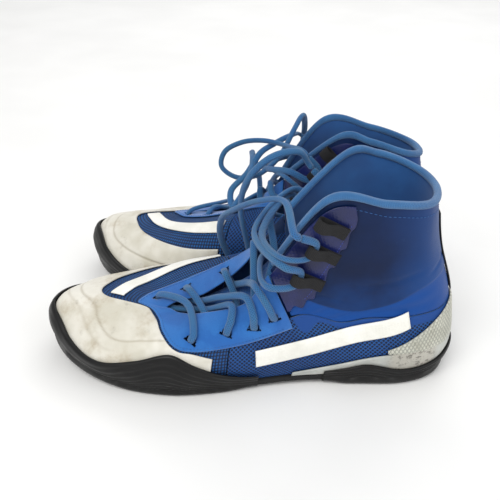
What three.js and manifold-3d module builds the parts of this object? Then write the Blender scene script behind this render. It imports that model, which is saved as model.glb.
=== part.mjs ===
// A pair of ankle-high boxing boots, millimetres, +Z up, toes towards -X.
// The left boot stands at -Y with its outer side towards -Y; the right boot is its mirror image,
// set beside it and turned a little toe-outwards.
import * as THREE from "three";
import Module from "manifold-3d";

const wasm = await Module();
wasm.setup();

// driving sizes
const lastLength = 292;
const ballWidth = 102;
const collarHeight = 158;
const basePly = 1.2;
const overlayGap = 0.8;
const overlayPly = 1.0;
const soleWall = 2.2;
const laceDiameter = 4.2;
const agletDiameter = 3;
const agletLength = 20;
const bindingRadius = 2.5;
const tonguePadding = 4.5;
const midsoleThickness = 3.8;
const midsoleDrop = 0.7;
const soleGap = 0.6;
const wallLift = basePly + overlayGap + overlayPly + soleGap;
const rightBootOffset = [7.4, 104.4];
const rightBootTurn = (-13.8 * Math.PI) / 180;
// the right shaft has slumped: above the ankle its outer side leans in towards the inner side
const shaftSlump = 0.47;

// Stations round the boot: toe tip, along the outer side to the heel, back along the inner side.
// Each holds five levels from the feather line up to the top line, in mm for a 292 x 102 x 158 boot.
const stationTable = [
  [[-144, 8, 22], [-146, 8, 32], [-134, 6, 44], [-102, -2, 48], [-58, -15, 49]],
  [[-130, -19, 16], [-130, -19, 26], [-114, -14, 40], [-84, -14, 47], [-54, -17, 49]],
  [[-98, -39, 11], [-98, -42, 22], [-86, -36, 37], [-67, -28, 45], [-47, -21, 49]],
  [[-55, -47, 7.5], [-54, -51, 20], [-49, -47, 37], [-40, -38, 47], [-33, -25, 53]],
  [[-10, -41, 8], [-9, -45, 22], [-8, -44, 40], [-5, -37, 55], [-2, -27, 65]],
  [[35, -33, 9], [36, -38, 26], [30, -38, 52], [20, -35, 76], [12, -29, 92]],
  [[75, -30, 9.5], [75, -35, 30], [66, -34, 68], [55, -37, 112], [46, -37, 149]],
  [[110, -28, 9.5], [112, -32, 30], [104, -30, 68], [93, -34, 110], [84, -38, 148]],
  [[133, -18, 10], [137, -20, 30], [130, -19, 68], [118, -23, 106], [112, -26, 143]],
  [[142, 0, 11], [147, 0, 30], [141, 0, 68], [129, 1, 104], [122, 2, 141]],
  [[133, 18, 10], [137, 20, 30], [130, 19, 68], [119, 23, 106], [113, 25, 144]],
  [[110, 27, 9.5], [112, 30, 30], [104, 30, 68], [94, 32, 112], [88, 33, 151]],
  [[75, 26, 9.5], [76, 31, 30], [68, 33, 68], [62, 32, 112], [63, 29, 151]],
  [[35, 23, 10], [36, 30, 28], [30, 33, 56], [23, 27, 86], [22, 17, 109]],
  [[-10, 27, 10], [-10, 36, 28], [-10, 38, 55], [-9, 25, 73], [-3, 2, 77]],
  [[-55, 46, 8], [-55, 51, 24], [-53, 46, 48], [-46, 24, 61], [-30, -8, 58]],
  [[-98, 46, 11], [-98, 49, 24], [-92, 40, 43], [-74, 16, 52], [-50, -11, 52]],
  [[-129, 33, 16], [-130, 35, 27], [-120, 28, 42], [-91, 8, 50], [-56, -13, 50]],
];
const stationCount = stationTable.length;
const scale = [lastLength / 292, ballWidth / 102, collarHeight / 158];

const stationPoint = (station, level) => {
  const row = stationTable[((station % stationCount) + stationCount) % stationCount];
  const at = (k) => new THREE.Vector3(row[k][0] * scale[0], row[k][1] * scale[1], row[k][2] * scale[2]);
  if (level < 0) return at(0).multiplyScalar(2).sub(at(1));
  if (level > 4) return at(4).multiplyScalar(2).sub(at(3));
  return at(level);
};

const blendWeights = (t) => [
  0.5 * (-t + 2 * t * t - t ** 3),
  0.5 * (2 - 5 * t * t + 3 * t ** 3),
  0.5 * (t + 4 * t * t - 3 * t ** 3),
  0.5 * (t ** 3 - t * t),
];

// the foot surface: stations by levels, joined smoothly both ways
const footPoint = (turn, level) => {
  const i = Math.floor(turn);
  const j = Math.min(Math.max(Math.floor(level), 0), 3);
  const across = blendWeights(turn - i);
  const up = blendWeights(level - j);
  const sum = new THREE.Vector3();
  across.forEach((a, k) => up.forEach((b, m) => sum.addScaledVector(stationPoint(i + k - 1, j + m - 1), a * b)));
  return sum;
};

const slope = (ahead, behind) => ahead.sub(behind).multiplyScalar(25);
const alongTurn = (turn, level) => slope(footPoint(turn + 0.02, level), footPoint(turn - 0.02, level));
const alongLevel = (turn, level) => slope(footPoint(turn, level + 0.02), footPoint(turn, level - 0.02));
const outward = (turn, level) => alongTurn(turn, level).cross(alongLevel(turn, level)).normalize();
const skin = (turn, level, lift) => footPoint(turn, level).addScaledVector(outward(turn, level), lift);

// the feather line moved sideways in plan and set at a height
const soleEdge = (turn, out, rise) => {
  const p = footPoint(turn, 0);
  const run = alongTurn(turn, 0);
  const reach = Math.hypot(run.x, run.y);
  return new THREE.Vector3(p.x + (out * run.y) / reach, p.y - (out * run.x) / reach, p.z + rise);
};

const table = (pairs) => (x) => {
  const last = pairs.length - 1;
  if (x <= pairs[0][0]) return pairs[0][1];
  if (x >= pairs[last][0]) return pairs[last][1];
  const k = pairs.findIndex((p) => p[0] > x) - 1;
  const t = (x - pairs[k][0]) / (pairs[k + 1][0] - pairs[k][0]);
  return pairs[k][1] + (pairs[k + 1][1] - pairs[k][1]) * t * t * (3 - 2 * t);
};

// closes two equal point grids into one solid; the first grid's faces look along row x column
const closeGrids = (front, back, capStart = true, capEnd = true) => {
  const points = [];
  const seen = new Map();
  const index = (p) => {
    const key = [p.x, p.y, p.z].map((c) => Math.round(c * 500)).join(" ");
    if (!seen.has(key)) {
      seen.set(key, points.length);
      points.push(p);
    }
    return seen.get(key);
  };
  const faces = [];
  const triangle = (a, b, c) => {
    if (a !== b && b !== c && a !== c) faces.push(a, b, c);
  };
  const quad = (a, b, c, d) => {
    triangle(a, b, c);
    triangle(a, c, d);
  };
  const f = front.map((row) => row.map(index));
  const b = back.map((row) => row.map(index));
  const rows = f.length - 1;
  const columns = f[0].length - 1;
  for (let i = 0; i < rows; i++) {
    for (let j = 0; j < columns; j++) {
      quad(f[i][j], f[i + 1][j], f[i + 1][j + 1], f[i][j + 1]);
      quad(b[i][j], b[i][j + 1], b[i + 1][j + 1], b[i + 1][j]);
    }
    quad(f[i][0], b[i][0], b[i + 1][0], f[i + 1][0]);
    quad(f[i][columns], f[i + 1][columns], b[i + 1][columns], b[i][columns]);
  }
  for (let j = 0; j < columns; j++) {
    if (capStart) quad(f[0][j], f[0][j + 1], b[0][j + 1], b[0][j]);
    if (capEnd) quad(f[rows][j], b[rows][j], b[rows][j + 1], f[rows][j + 1]);
  }
  const geometry = new THREE.BufferGeometry();
  const values = points.flatMap((p) => [p.x, p.y, p.z]);
  geometry.setAttribute("position", new THREE.Float32BufferAttribute(values, 3));
  geometry.setIndex(faces);
  return geometry;
};

const spread = (from, to, count) => Array.from({ length: count + 1 }, (_, k) => from + ((to - from) * k) / count);

// every layer is cut along the same lines, closer together round the toe and the heel
const turnLines = [
  ...spread(-9, -7.75, 5), ...spread(-7.5, -2.5, 10), ...spread(-2, 2, 14), ...spread(2.5, 5, 5),
  ...spread(5.25, 6, 3), ...spread(6.5, 7.5, 2),
  ...spread(7.75, 10.25, 10), ...spread(10.5, 15, 9),
];
const levelLines = [0.45, 0.9, 1.35, 1.8, 2.4, 3, 3.25, 3.6];
const linesBetween = (from, to) => [from, ...turnLines.filter((u) => u > from + 0.04 && u < to - 0.04), to];

// a sheet of the upper between two turns and two level functions, from one lift to another
const panel = (from, to, low, high, inner, outer) => {
  const grid = (lift) =>
    linesBetween(from, to).map((turn) => {
      const bottom = low(turn);
      const top = high(turn);
      const levels = [bottom, ...levelLines.map((v) => Math.min(Math.max(v, bottom), top)), top];
      return levels.map((level) => skin(turn, level, lift));
    });
  return closeGrids(grid(outer), grid(inner));
};

// a straight band laid on the upper: its centre line as turn and level, its width in mm
const band = (from, to, centre, width, inner, outer) => {
  const half = (turn) => width / 2 / alongLevel(turn, centre(turn)).length();
  return panel(from, to, (u) => centre(u) - half(u), (u) => centre(u) + half(u), inner, outer);
};

const flat = (value) => () => value;

// sole parts: sections from the outer side across to the inner side
const soleBody = (turns, topSection, undersideSection, capStart, capEnd) =>
  closeGrids(turns.map(topSection), turns.map(undersideSection), capStart, capEnd);

const acrossBetween = (a, b, count) => spread(0, 1, count).map((t) => a.clone().lerp(b, t));

const flatSection = (out, rise, steps) => (turn) =>
  acrossBetween(soleEdge(turn, out, rise), soleEdge(stationCount - turn, out, rise), steps);

const groundRise = (turn) => Math.max(0, footPoint(turn, 0).z - 7.5 * scale[2] - 2) - footPoint(turn, 0).z;

const podSections = (outerWall, innerWall) => {
  const side = (turn, level, inside) => {
    const levels = [level, Math.min(level, 1.35), Math.min(level, 0.9), Math.min(level, 0.45)];
    if (inside) {
      return [
        ...levels.map((v) => skin(turn, v, wallLift)),
        soleEdge(turn, wallLift + 0.2, 0),
        soleEdge(turn, wallLift + 0.2, -midsoleDrop - midsoleThickness - 0.4),
      ];
    }
    const ground = groundRise(turn);
    return [
      ...levels.map((v) => skin(turn, v, wallLift + soleWall * (v < level ? 1 : 0.5))),
      soleEdge(turn, wallLift + soleWall, Math.max(ground * 0.4, -4)),
      soleEdge(turn, 1.5, ground),
    ];
  };
  return (inside) => (turn) => {
    const first = side(turn, outerWall(turn), inside);
    const second = side(stationCount - turn, innerWall(turn), inside);
    const floor = acrossBetween(first[5], second[5], 3).slice(1, -1);
    return [...first, ...floor, ...second.reverse()];
  };
};

const toManifold = (geometry) =>
  new wasm.Manifold(
    new wasm.Mesh({
      numProp: 3,
      vertProperties: new Float32Array(geometry.getAttribute("position").array),
      triVerts: new Uint32Array(geometry.index.array),
    }),
  );

const weld = (geometry) => {
  const source = geometry.index ? geometry.toNonIndexed() : geometry;
  const p = source.getAttribute("position");
  const seen = new Map();
  const values = [];
  const order = [];
  for (let i = 0; i < p.count; i++) {
    const key = [p.getX(i), p.getY(i), p.getZ(i)].map((c) => Math.round(c * 2000)).join(" ");
    if (!seen.has(key)) {
      seen.set(key, values.length / 3);
      values.push(p.getX(i), p.getY(i), p.getZ(i));
    }
    order.push(seen.get(key));
  }
  const kept = [];
  for (let i = 0; i < order.length; i += 3) {
    const [a, b, c] = order.slice(i, i + 3);
    if (a !== b && b !== c && a !== c) kept.push(a, b, c);
  }
  const welded = new THREE.BufferGeometry();
  welded.setAttribute("position", new THREE.Float32BufferAttribute(values, 3));
  welded.setIndex(kept);
  return welded;
};

const fromManifold = (solid) => {
  const mesh = solid.getMesh();
  const values = [];
  for (let i = 0; i < mesh.numVert; i++) {
    values.push(...mesh.vertProperties.subarray(i * mesh.numProp, i * mesh.numProp + 3));
  }
  const geometry = new THREE.BufferGeometry();
  geometry.setAttribute("position", new THREE.Float32BufferAttribute(values, 3));
  geometry.setIndex(Array.from(mesh.triVerts));
  return geometry;
};

// a frame standing on the upper: x along the turn, y up the level, z outwards
const frameAt = (turn, level, lift) => {
  const z = outward(turn, level);
  const y = alongLevel(turn, level).normalize();
  const x = new THREE.Vector3().crossVectors(y, z).normalize();
  y.crossVectors(z, x);
  return new THREE.Matrix4().makeBasis(x, y, z).setPosition(skin(turn, level, lift));
};

// a cord as a round tube along hand-placed points
const cord = (points, diameter, step, sides) => {
  const curve = new THREE.CatmullRomCurve3(points, false, "centripetal");
  const ring = Array.from({ length: sides }, (_, k) => {
    const a = (2 * Math.PI * k) / sides;
    return new THREE.Vector2((Math.cos(a) * diameter) / 2, (Math.sin(a) * diameter) / 2);
  });
  if (!step) {
    // rings stand at the given points themselves, which lie closer together in the bends
    curve.getPointAt = (t) => curve.getPoint(t);
    curve.getTangentAt = (t) => curve.getTangent(t);
  }
  const steps = step ? Math.round(curve.getLength() / step) : points.length - 1;
  return weld(
    new THREE.ExtrudeGeometry(new THREE.Shape(ring), { steps, bevelEnabled: false, extrudePath: curve }),
  );
};

// where the lace holes and loops sit: turn along the upper, from the toe upwards, outer then inner side
const holes = [
  [[3.12, 2.58], [3.72, 2.76], [4.3, 2.64], [4.75, 2.6]],
  [[16.62, 3.62], [15.4, 3.66], [14.42, 3.68], [13.6, 3.68]],
];
const loops = [
  [[5.46, 3.05], [5.76, 3.32], [5.95, 3.68]],
  [[12.54, 3.05], [12.24, 3.32], [12.05, 3.68]],
];
// where the lace crosses the throat's middle on its way to each loop
const crossings = [
  [4.95, 5.3],
  [13.1, 12.8],
];
const loopGap = 0.85;
const loopLift = basePly + overlayGap + overlayPly + loopGap;
const loopLean = (52 * Math.PI) / 180;
const holeRadius = 4.7;

const loopShape = () => {
  const shape = new THREE.Shape();
  shape.moveTo(-14, 0);
  shape.lineTo(4, 0);
  shape.absarc(4, 4.1, 4.1, -Math.PI / 2, Math.PI / 2, false);
  shape.lineTo(-6, 3);
  shape.lineTo(-14, 2.2);
  shape.closePath();
  const eye = new THREE.Path();
  eye.absarc(4, 4.1, 3.2, 0, 2 * Math.PI, true);
  shape.holes.push(eye);
  return shape;
};

// a folded webbing loop: flat on the strip behind, open eye in front; its profile spans y and z
const laceLoop = ([turn, level], side) => {
  const width = 9;
  const across = { depth: width, bevelEnabled: false, curveSegments: 5 };
  const geometry = new THREE.ExtrudeGeometry(loopShape(), across);
  geometry.translate(0, 0, -width / 2);
  geometry.applyMatrix4(
    new THREE.Matrix4().makeBasis(
      new THREE.Vector3(0, 1, 0),
      new THREE.Vector3(0, 0, 1),
      new THREE.Vector3(1, 0, 0),
    ),
  );
  geometry.rotateZ(side ? -loopLean : loopLean);
  geometry.applyMatrix4(frameAt(turn, level, loopLift));
  return weld(geometry);
};

const eyestayLow = table([
  [-5.05, 3.15], [-4, 3.36], [-3, 3.42], [-2, 3.42], [-1, 3.46], [-0.2, 3.5], [0.6, 3.46], [1.4, 3.4],
  [2, 3.2], [2.5, 2.7], [3, 2.12], [3.25, 2.05], [3.6, 2.08], [4, 2.12], [5, 2.1],
]);

const makeEyestay = () => {
  const lift = basePly + overlayGap;
  const sheet = panel(-5.05, 5.0, eyestayLow, flat(3.97), lift, lift + overlayPly);
  let solid = toManifold(sheet);
  holes.forEach((row, side) =>
    row.forEach(([turn, level]) => {
      const punch = new THREE.CylinderGeometry(holeRadius, holeRadius, 12, 8);
      punch.rotateX(Math.PI / 2);
      punch.applyMatrix4(frameAt(turn, level, 2));
      solid = solid.subtract(toManifold(weld(punch)));
    }),
  );
  return fromManifold(solid);
};

// the tongue starts against the underside of the vamp, then drops clear of the laces and follows the throat
const tongueRamp = table([[0.5, 0], [1.12, 1]]);
const tongueSection = (turn, thickness) => {
  const drop = tongueRamp(turn);
  const depth = 5.6 + 7.8 * drop;
  const a = skin(turn, 3.3 + 0.25 * drop, -depth);
  const b = skin(stationCount - turn, 3.3 + 0.4 * drop, -depth);
  const bulge = outward(turn, 3.9).add(outward(stationCount - turn, 3.9)).normalize();
  return spread(0, 1, 6).map((t) => {
    const round = 4 * t * (1 - t);
    return a.clone().lerp(b, t).addScaledVector(bulge, round + thickness * Math.min(1, round + 0.35));
  });
};

const makeTongue = (top) => {
  const turns = [0.5, 0.8, 1.12, ...spread(1.6, top, 9)];
  const sections = (thickness) => turns.map((turn) => tongueSection(turn, thickness));
  return closeGrids(sections(tonguePadding), sections(0));
};

const palette = {
  rubber: [0x141413, 0.6],
  white: [0xe6e3d8, 0.55],
  mesh: [0x1b4474, 0.8],
  satin: [0x16305c, 0.4],
  suede: [0x2f74bd, 0.9],
  textile: [0x3c6f9e, 0.9],
  violet: [0x24357c, 0.35],
  webbing: [0x111112, 0.85],
  grey: [0xb4b6ae, 0.55],
  lace: [0x2f6396, 0.9],
  foam: [0x1c4f84, 0.9],
  tip: [0x24507e, 0.3],
};

const wallOuter = table([
  [0, 1.4], [0.6, 1.3], [1.1, 1.05], [1.8, 0.95], [2.4, 1.45], [2.9, 1.9], [3.35, 1.5], [3.8, 0.95], [4.15, 0.6],
  [4.4, 0.5],
]);
const wallInner = table([[0, 1.4], [0.6, 1.55], [1.2, 1.3], [2, 0.85], [3, 0.9], [3.75, 0.7], [4.4, 0.45]]);
const heelWall = table([[5.3, 0.3], [5.8, 0.5], [6.2, 0.68], [7, 0.36], [8, 0.5], [9, 0.85]]);

// a point beside a hole or loop: mm along the turn (upwards), mm towards the throat, mm of lift
const besideHole = ([turn, level], side, along, towards, lift) =>
  new THREE.Vector3(side ? -along : along, towards, 0).applyMatrix4(frameAt(turn, level, lift));
const besideLoop = (place, side, along, towards, lift) => {
  const [c, s] = [Math.cos(loopLean), Math.sin(loopLean)];
  return besideHole(place, side, along * c - towards * s, along * s + towards * c, lift);
};

// one half of the lacing: over the flap, down a hole, back out under the edge, across to the other side
const laceHalf = (side, lift) => {
  const points = [];
  for (let row = 0; row < 4; row++) {
    const here = (side + row) % 2;
    const at = (towards, high) => points.push(besideHole(holes[here][row], here, 0, towards, high));
    const overEdge = besideHole([holes[here][row][0], 4], here, 0, -1, 7.5);
    if (row > 0 && !here) points.push(overEdge);
    if (row > 0) at(9, 7.6);
    at(3.6, 5.9);
    at(-0.4, 2.4);
    at(3.6, -1.7);
    at(9.5, -3.2);
    if (!here) at(17, -5.2);
    const next = row < 3 ? holes[1 - here][row + 1][0] : crossings[1 - here][0];
    points.push(throatPoint(holes[here][row][0], next, lift));
  }
  for (let row = 0; row < 2; row++) {
    const here = (side + row) % 2;
    const at = (...place) => points.push(besideLoop(loops[here][row], here, ...place));
    if (row < 1) points.push(besideHole([crossings[here][0], 4], here, 0, -1, 9.2));
    at(-11, 18, 12);
    at(-5.5, 4.2, loopLift + 4.1);
    at(5.5, 4.2, loopLift + 4.1);
    at(8.5, 16, 14);
    if (row < 1) points.push(throatPoint(crossings[here][0], crossings[1 - here][1], lift + 17));
  }
  return points;
};

const throatPoint = (turn, next, lift) => {
  const a = skin(turn, 4, 0);
  const b = skin(next, 4, 0);
  const up = outward(turn, 4).add(outward(next, 4)).normalize();
  return a.lerp(b, 0.5).addScaledVector(up, lift);
};

// the free lace ends, in the boot's own frame with the outer side towards -Y
const looseEnds = {
  medial: [
    [32, 36, 152], [14, 30, 151], [-2, 34, 134], [-9, 44, 106], [-4, 50, 70], [4, 50, 40], [12, 49, 16],
    [24, 48, 3.5], [38, 48, 2.6], [48, 47, 2.6],
  ],
  lateral: [
    [20, -24, 143], [4, -6, 134], [-12, 12, 118], [-22, 30, 101], [-24, 46, 76], [-16, 54, 48], [-6, 56, 20],
    [4, 57, 5], [18, 57.5, 2.6], [30, 57, 2.6],
  ],
};
const bowEnds = {
  medial: [
    [24, 14, 138], [16, 4, 137], [2, 0, 137], [-14, 2, 134], [-28, 8, 125], [-30, 13, 113],
    [-19, 11, 104], [-4, 9, 106], [9, 11, 117], [18, 8, 129], [26, -6, 148], [30, -28, 156], [30, -52, 142],
    [26, -62, 116], [22, -62, 88], [18, -62, 60],
  ],
  lateral: [
    [20, -22, 138], [10, -8, 133], [1, 4, 127], [-8, 18, 111], [-18, 32, 99], [-14, 42, 91],
    [-6, 34, 104], [-4, 20, 116], [-6, 2, 121], [-10, -18, 120], [-14, -42, 104], [-16, -58, 80], [-16, -64, 54],
    [-16, -67, 30],
  ],
};

const slumpShaft = (geometry) => {
  const points = geometry.getAttribute("position");
  const from = 0.38 * collarHeight;
  const to = 0.98 * collarHeight;
  const innerSide = 0.265 * ballWidth;
  for (let i = 0; i < points.count; i++) {
    const t = Math.min(Math.max((points.getZ(i) - from) / (to - from), 0), 1);
    const share = shaftSlump * t * t * (3 - 2 * t);
    points.setY(i, innerSide - (innerSide - points.getY(i)) * (1 - share));
  }
};

const nodeMaker = (side, mirrored) => {
  const group = new THREE.Group();
  const add = (name, geometry, colour) => {
    const made = geometry.clone();
    if (mirrored) {
      slumpShaft(made);
      made.scale(1, -1, 1);
      const order = made.index.array;
      for (let i = 0; i < order.length; i += 3) [order[i + 1], order[i + 2]] = [order[i + 2], order[i + 1]];
    }
    made.computeVertexNormals();
    const [hex, roughness] = palette[colour];
    const material = new THREE.MeshStandardMaterial({ color: hex, roughness, metalness: 0 });
    const mesh = new THREE.Mesh(made, material);
    mesh.name = `${side}_${name}`;
    group.add(mesh);
  };
  return { group, add };
};

const makeBoot = (side, mirrored) => {
  const { group, add } = nodeMaker(side, mirrored);
  const over = [basePly + overlayGap, basePly + overlayGap + overlayPly];

  const foreTurns = linesBetween(0, 4.35);
  const heelTurns = linesBetween(5.45, 9);
  const fullTurns = linesBetween(0, 9);
  const fore = podSections(wallOuter, wallInner);
  add("outsole_forefoot", soleBody(foreTurns, fore(true), fore(false), false, true), "rubber");
  const heel = podSections(heelWall, heelWall);
  add("outsole_heel", soleBody(heelTurns, heel(true), heel(false), true, false), "rubber");
  add(
    "midsole",
    soleBody(
      fullTurns,
      flatSection(2.9, -midsoleDrop, 2),
      flatSection(2.9, -midsoleDrop - midsoleThickness, 2),
      false,
      false,
    ),
    "rubber",
  );
  add("sockliner", soleBody(fullTurns, flatSection(-2.4, 4, 2), flatSection(-1.8, 0, 2), false, false), "foam");

  const throat = table([
    [-3.8, 3.4], [-2, 3.5], [0, 3.6], [1.5, 3.55], [2.2, 3.3], [2.6, 2.75], [3, 2.32], [3.9, 2.4],
  ]);
  add("vamp_mesh", panel(-3.75, 3.85, flat(0), throat, 0, basePly), "mesh");
  const quarterTop = table([[3.9, 2.4], [4.6, 2.36], [5.2, 2.3], [5.8, 1.78], [9, 1.78]]);
  const quarterTopInner = table([[9.02, 1.78], [12.2, 1.78], [12.8, 2.4], [13.4, 3.3], [14.2, 3.4]]);
  add("quarter_lateral", panel(3.87, 8.98, flat(0), quarterTop, 0, basePly), "mesh");
  add("quarter_medial", panel(9.0, 14.23, flat(0), quarterTopInner, 0, basePly), "mesh");
  const shaftLow = table([[4.95, 2.45], [5.2, 2.33], [5.8, 1.8], [12.2, 1.8], [12.8, 2.42], [13.05, 2.8]]);
  add("ankle_shaft", panel(5.05, 12.93, shaftLow, flat(3.94), 0, basePly), "satin");

  const toeTop = table([
    [-3.65, 1.9], [-3, 2.02], [-2, 2.28], [-1.2, 2.5], [-0.5, 2.68], [0, 2.95], [0.3, 3.25], [0.6, 3.38],
    [1.4, 3.32], [2, 3.12], [2.5, 2.62], [3, 2.03], [3.25, 1.95], [3.6, 1.7],
  ]);
  add("toe_cap", panel(-3.65, 3.6, flat(0.06), toeTop, over[0], over[1]), "white");
  const counterTop = table([
    [6.6, 1.12], [7.2, 1.38], [8, 1.68], [9, 1.86], [10, 1.68], [10.8, 1.38], [11.4, 1.12],
  ]);
  add("heel_counter", panel(6.6, 11.4, flat(1.03), counterTop, over[0], over[1]), "white");
  const foxingTop = table([[4.9, 0.3], [5.6, 0.65], [6.6, 0.99], [11.4, 0.99], [12.4, 0.65], [13.1, 0.3]]);
  add("foxing", panel(4.9, 13.1, flat(0.06), foxingTop, over[0], over[1]), "grey");
  add("eyestay", makeEyestay(), "suede");
  add("tongue", makeTongue(mirrored ? 6.0 : 5.6), "textile");

  const stripLow = table([[5.03, 2.62], [5.4, 2.52], [5.7, 2.72], [6, 2.98], [6.3, 3.42], [6.42, 3.72]]);
  const stripLowInner = (turn) => stripLow(stationCount - turn);
  add("loop_strip_lateral", panel(5.03, 6.42, stripLow, flat(3.9), over[0], over[1]), "violet");
  add("loop_strip_medial", panel(11.58, 12.92, stripLowInner, flat(3.9), over[0], over[1]), "violet");
  loops[0].forEach((place, k) => add(`lace_loop_lateral_${k + 1}`, laceLoop(place, 0), "webbing"));
  loops[1].forEach((place, k) => add(`lace_loop_medial_${k + 1}`, laceLoop(place, 1), "webbing"));

  const sideCentre = table([[4.25, 1.4], [5, 1.43], [6, 1.5], [6.6, 1.6], [7.2, 1.78]]);
  add("side_band", band(4.3, 7.1, sideCentre, 14, over[0], over[1]), "white");
  const vampCentre = table([[-3.7, 2.68], [-3, 2.74], [-2, 2.86], [-1, 2.98], [-0.3, 3.08]]);
  add("vamp_band", band(-3.65, -0.35, vampCentre, 11, over[0], over[1]), "white");
  add("back_stay", panel(8.86, 9.14, flat(1.92), flat(3.6), over[0], over[1]), "webbing");

  const rim = spread(5.1, 12.9, 26).map((turn) => {
    const rise = alongLevel(turn, 4).normalize();
    return skin(turn, 4, basePly / 2).addScaledVector(rise, bindingRadius + 0.1);
  });
  add("collar_binding", cord(rim, 2 * bindingRadius, 12, 8), "textile");
  const bar = throatPoint(holes[0][0][0], holes[1][0][0], 7.5);
  const firstHalf = laceHalf(0, 3.2);
  const secondHalf = laceHalf(1, -2.6);
  add("lace", cord([...firstHalf.slice().reverse(), bar, ...secondHalf], laceDiameter, 0, 8), "lace");
  const ends = mirrored ? bowEnds : looseEnds;
  [["medial", firstHalf], ["lateral", secondHalf]].forEach(([where, half]) => {
    const tail = half[half.length - 1];
    const away = tail.clone().sub(half[half.length - 2]).normalize();
    const route = [0.5, 5.5].map((d) => tail.clone().addScaledVector(away, d));
    route.push(...ends[where].map((p) => new THREE.Vector3(...p)));
    add(`lace_end_${where}`, cord(route, laceDiameter, 9, 8), "lace");
    const tip = route[route.length - 1];
    const run = tip.clone().sub(route[route.length - 2]).normalize();
    const sheath = new THREE.CylinderGeometry(agletDiameter / 2, agletDiameter / 2, agletLength, 8);
    sheath.applyQuaternion(new THREE.Quaternion().setFromUnitVectors(new THREE.Vector3(0, 1, 0), run));
    sheath.translate(...tip.clone().addScaledVector(run, agletLength / 2 + 0.45).toArray());
    add(`aglet_${where}`, weld(sheath), "tip");
  });
  return group;
};

const pair = new THREE.Group();
pair.name = "boxing_boots";
pair.add(makeBoot("left", false));
const right = makeBoot("right", true);
right.rotation.z = rightBootTurn;
right.position.set(rightBootOffset[0], rightBootOffset[1], 0);
pair.add(right);

// the origin: centre of the pair's base, measured without the free lace ends
pair.updateMatrixWorld(true);
const extent = new THREE.Box3();
pair.traverse((node) => {
  if (node.isMesh && !/lace_end|aglet/.test(node.name)) extent.expandByObject(node, true);
});
const middle = extent.getCenter(new THREE.Vector3());
pair.position.set(-middle.x, -middle.y, -extent.min.z);

export default pair;
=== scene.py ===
import math

import bpy
import numpy as np
from mathutils import Matrix, Vector


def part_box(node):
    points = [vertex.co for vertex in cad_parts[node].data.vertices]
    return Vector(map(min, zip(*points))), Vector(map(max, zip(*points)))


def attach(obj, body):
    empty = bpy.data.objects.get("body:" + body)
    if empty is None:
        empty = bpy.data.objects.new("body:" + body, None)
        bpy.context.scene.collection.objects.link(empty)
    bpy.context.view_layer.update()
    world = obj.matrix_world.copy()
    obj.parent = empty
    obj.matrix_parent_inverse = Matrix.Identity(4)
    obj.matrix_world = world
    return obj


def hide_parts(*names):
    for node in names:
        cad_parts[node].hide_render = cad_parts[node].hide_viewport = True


# A pair of ankle-high boxing boots. The boot surface is worked out in millimetres in the left boot's own
# frame (toes towards -X, outer side towards -Y), then placed as the left boot or its mirrored neighbour.

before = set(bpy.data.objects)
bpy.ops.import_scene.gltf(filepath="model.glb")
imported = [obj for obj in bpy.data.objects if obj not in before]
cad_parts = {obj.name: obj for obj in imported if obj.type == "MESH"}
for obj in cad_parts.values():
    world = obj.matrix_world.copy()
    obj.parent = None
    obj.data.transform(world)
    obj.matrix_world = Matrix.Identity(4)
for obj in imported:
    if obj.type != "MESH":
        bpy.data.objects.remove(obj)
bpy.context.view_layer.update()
print("frame loaded")


def hexColour(text):
    # sRGB hex to linear: (c + 0.055) / 1.055 to the power 2.4 above the toe of the curve
    parts = [int(text[i:i + 2], 16) / 255 for i in (1, 3, 5)]
    return tuple(c / 12.92 if c <= 0.04045 else ((c + 0.055) / 1.055) ** 2.4 for c in parts) + (1.0,)


# a low three-quarter view of the outer side; angles in degrees, lengths in m, lens and sensor in mm
cameraView = {
    "target": (-0.0027, -0.05841, 0.0914),
    "distance": 0.48485,
    "azimuth": -0.108,
    "elevation": 31.0,
    "roll": 1.554,
    "lens": 49.45,
    "sensor": 36,
    "clip": (0.01, 20),
}


def makeCamera(view):
    # back = (sin a cos e, -cos a cos e, sin e) from the target; the picture is then rolled about it
    a, e, r = (math.radians(view[k]) for k in ("azimuth", "elevation", "roll"))
    back = Vector((math.sin(a) * math.cos(e), -math.cos(a) * math.cos(e), math.sin(e)))
    side = (-back).cross(Vector((0, 0, 1))).normalized()
    up = side.cross(-back)
    x = side * math.cos(r) + up * math.sin(r)
    y = up * math.cos(r) - side * math.sin(r)
    turned = Matrix((x, y, back)).transposed().to_4x4()
    turned.translation = Vector(view["target"]) + back * view["distance"]
    data = bpy.data.cameras.new("camera")
    data.lens = view["lens"]
    data.sensor_width = view["sensor"]
    data.clip_start, data.clip_end = view["clip"]
    made = bpy.data.objects.new("camera", data)
    made.matrix_world = turned
    bpy.context.scene.collection.objects.link(made)
    bpy.context.scene.camera = made


makeCamera(cameraView)

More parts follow.
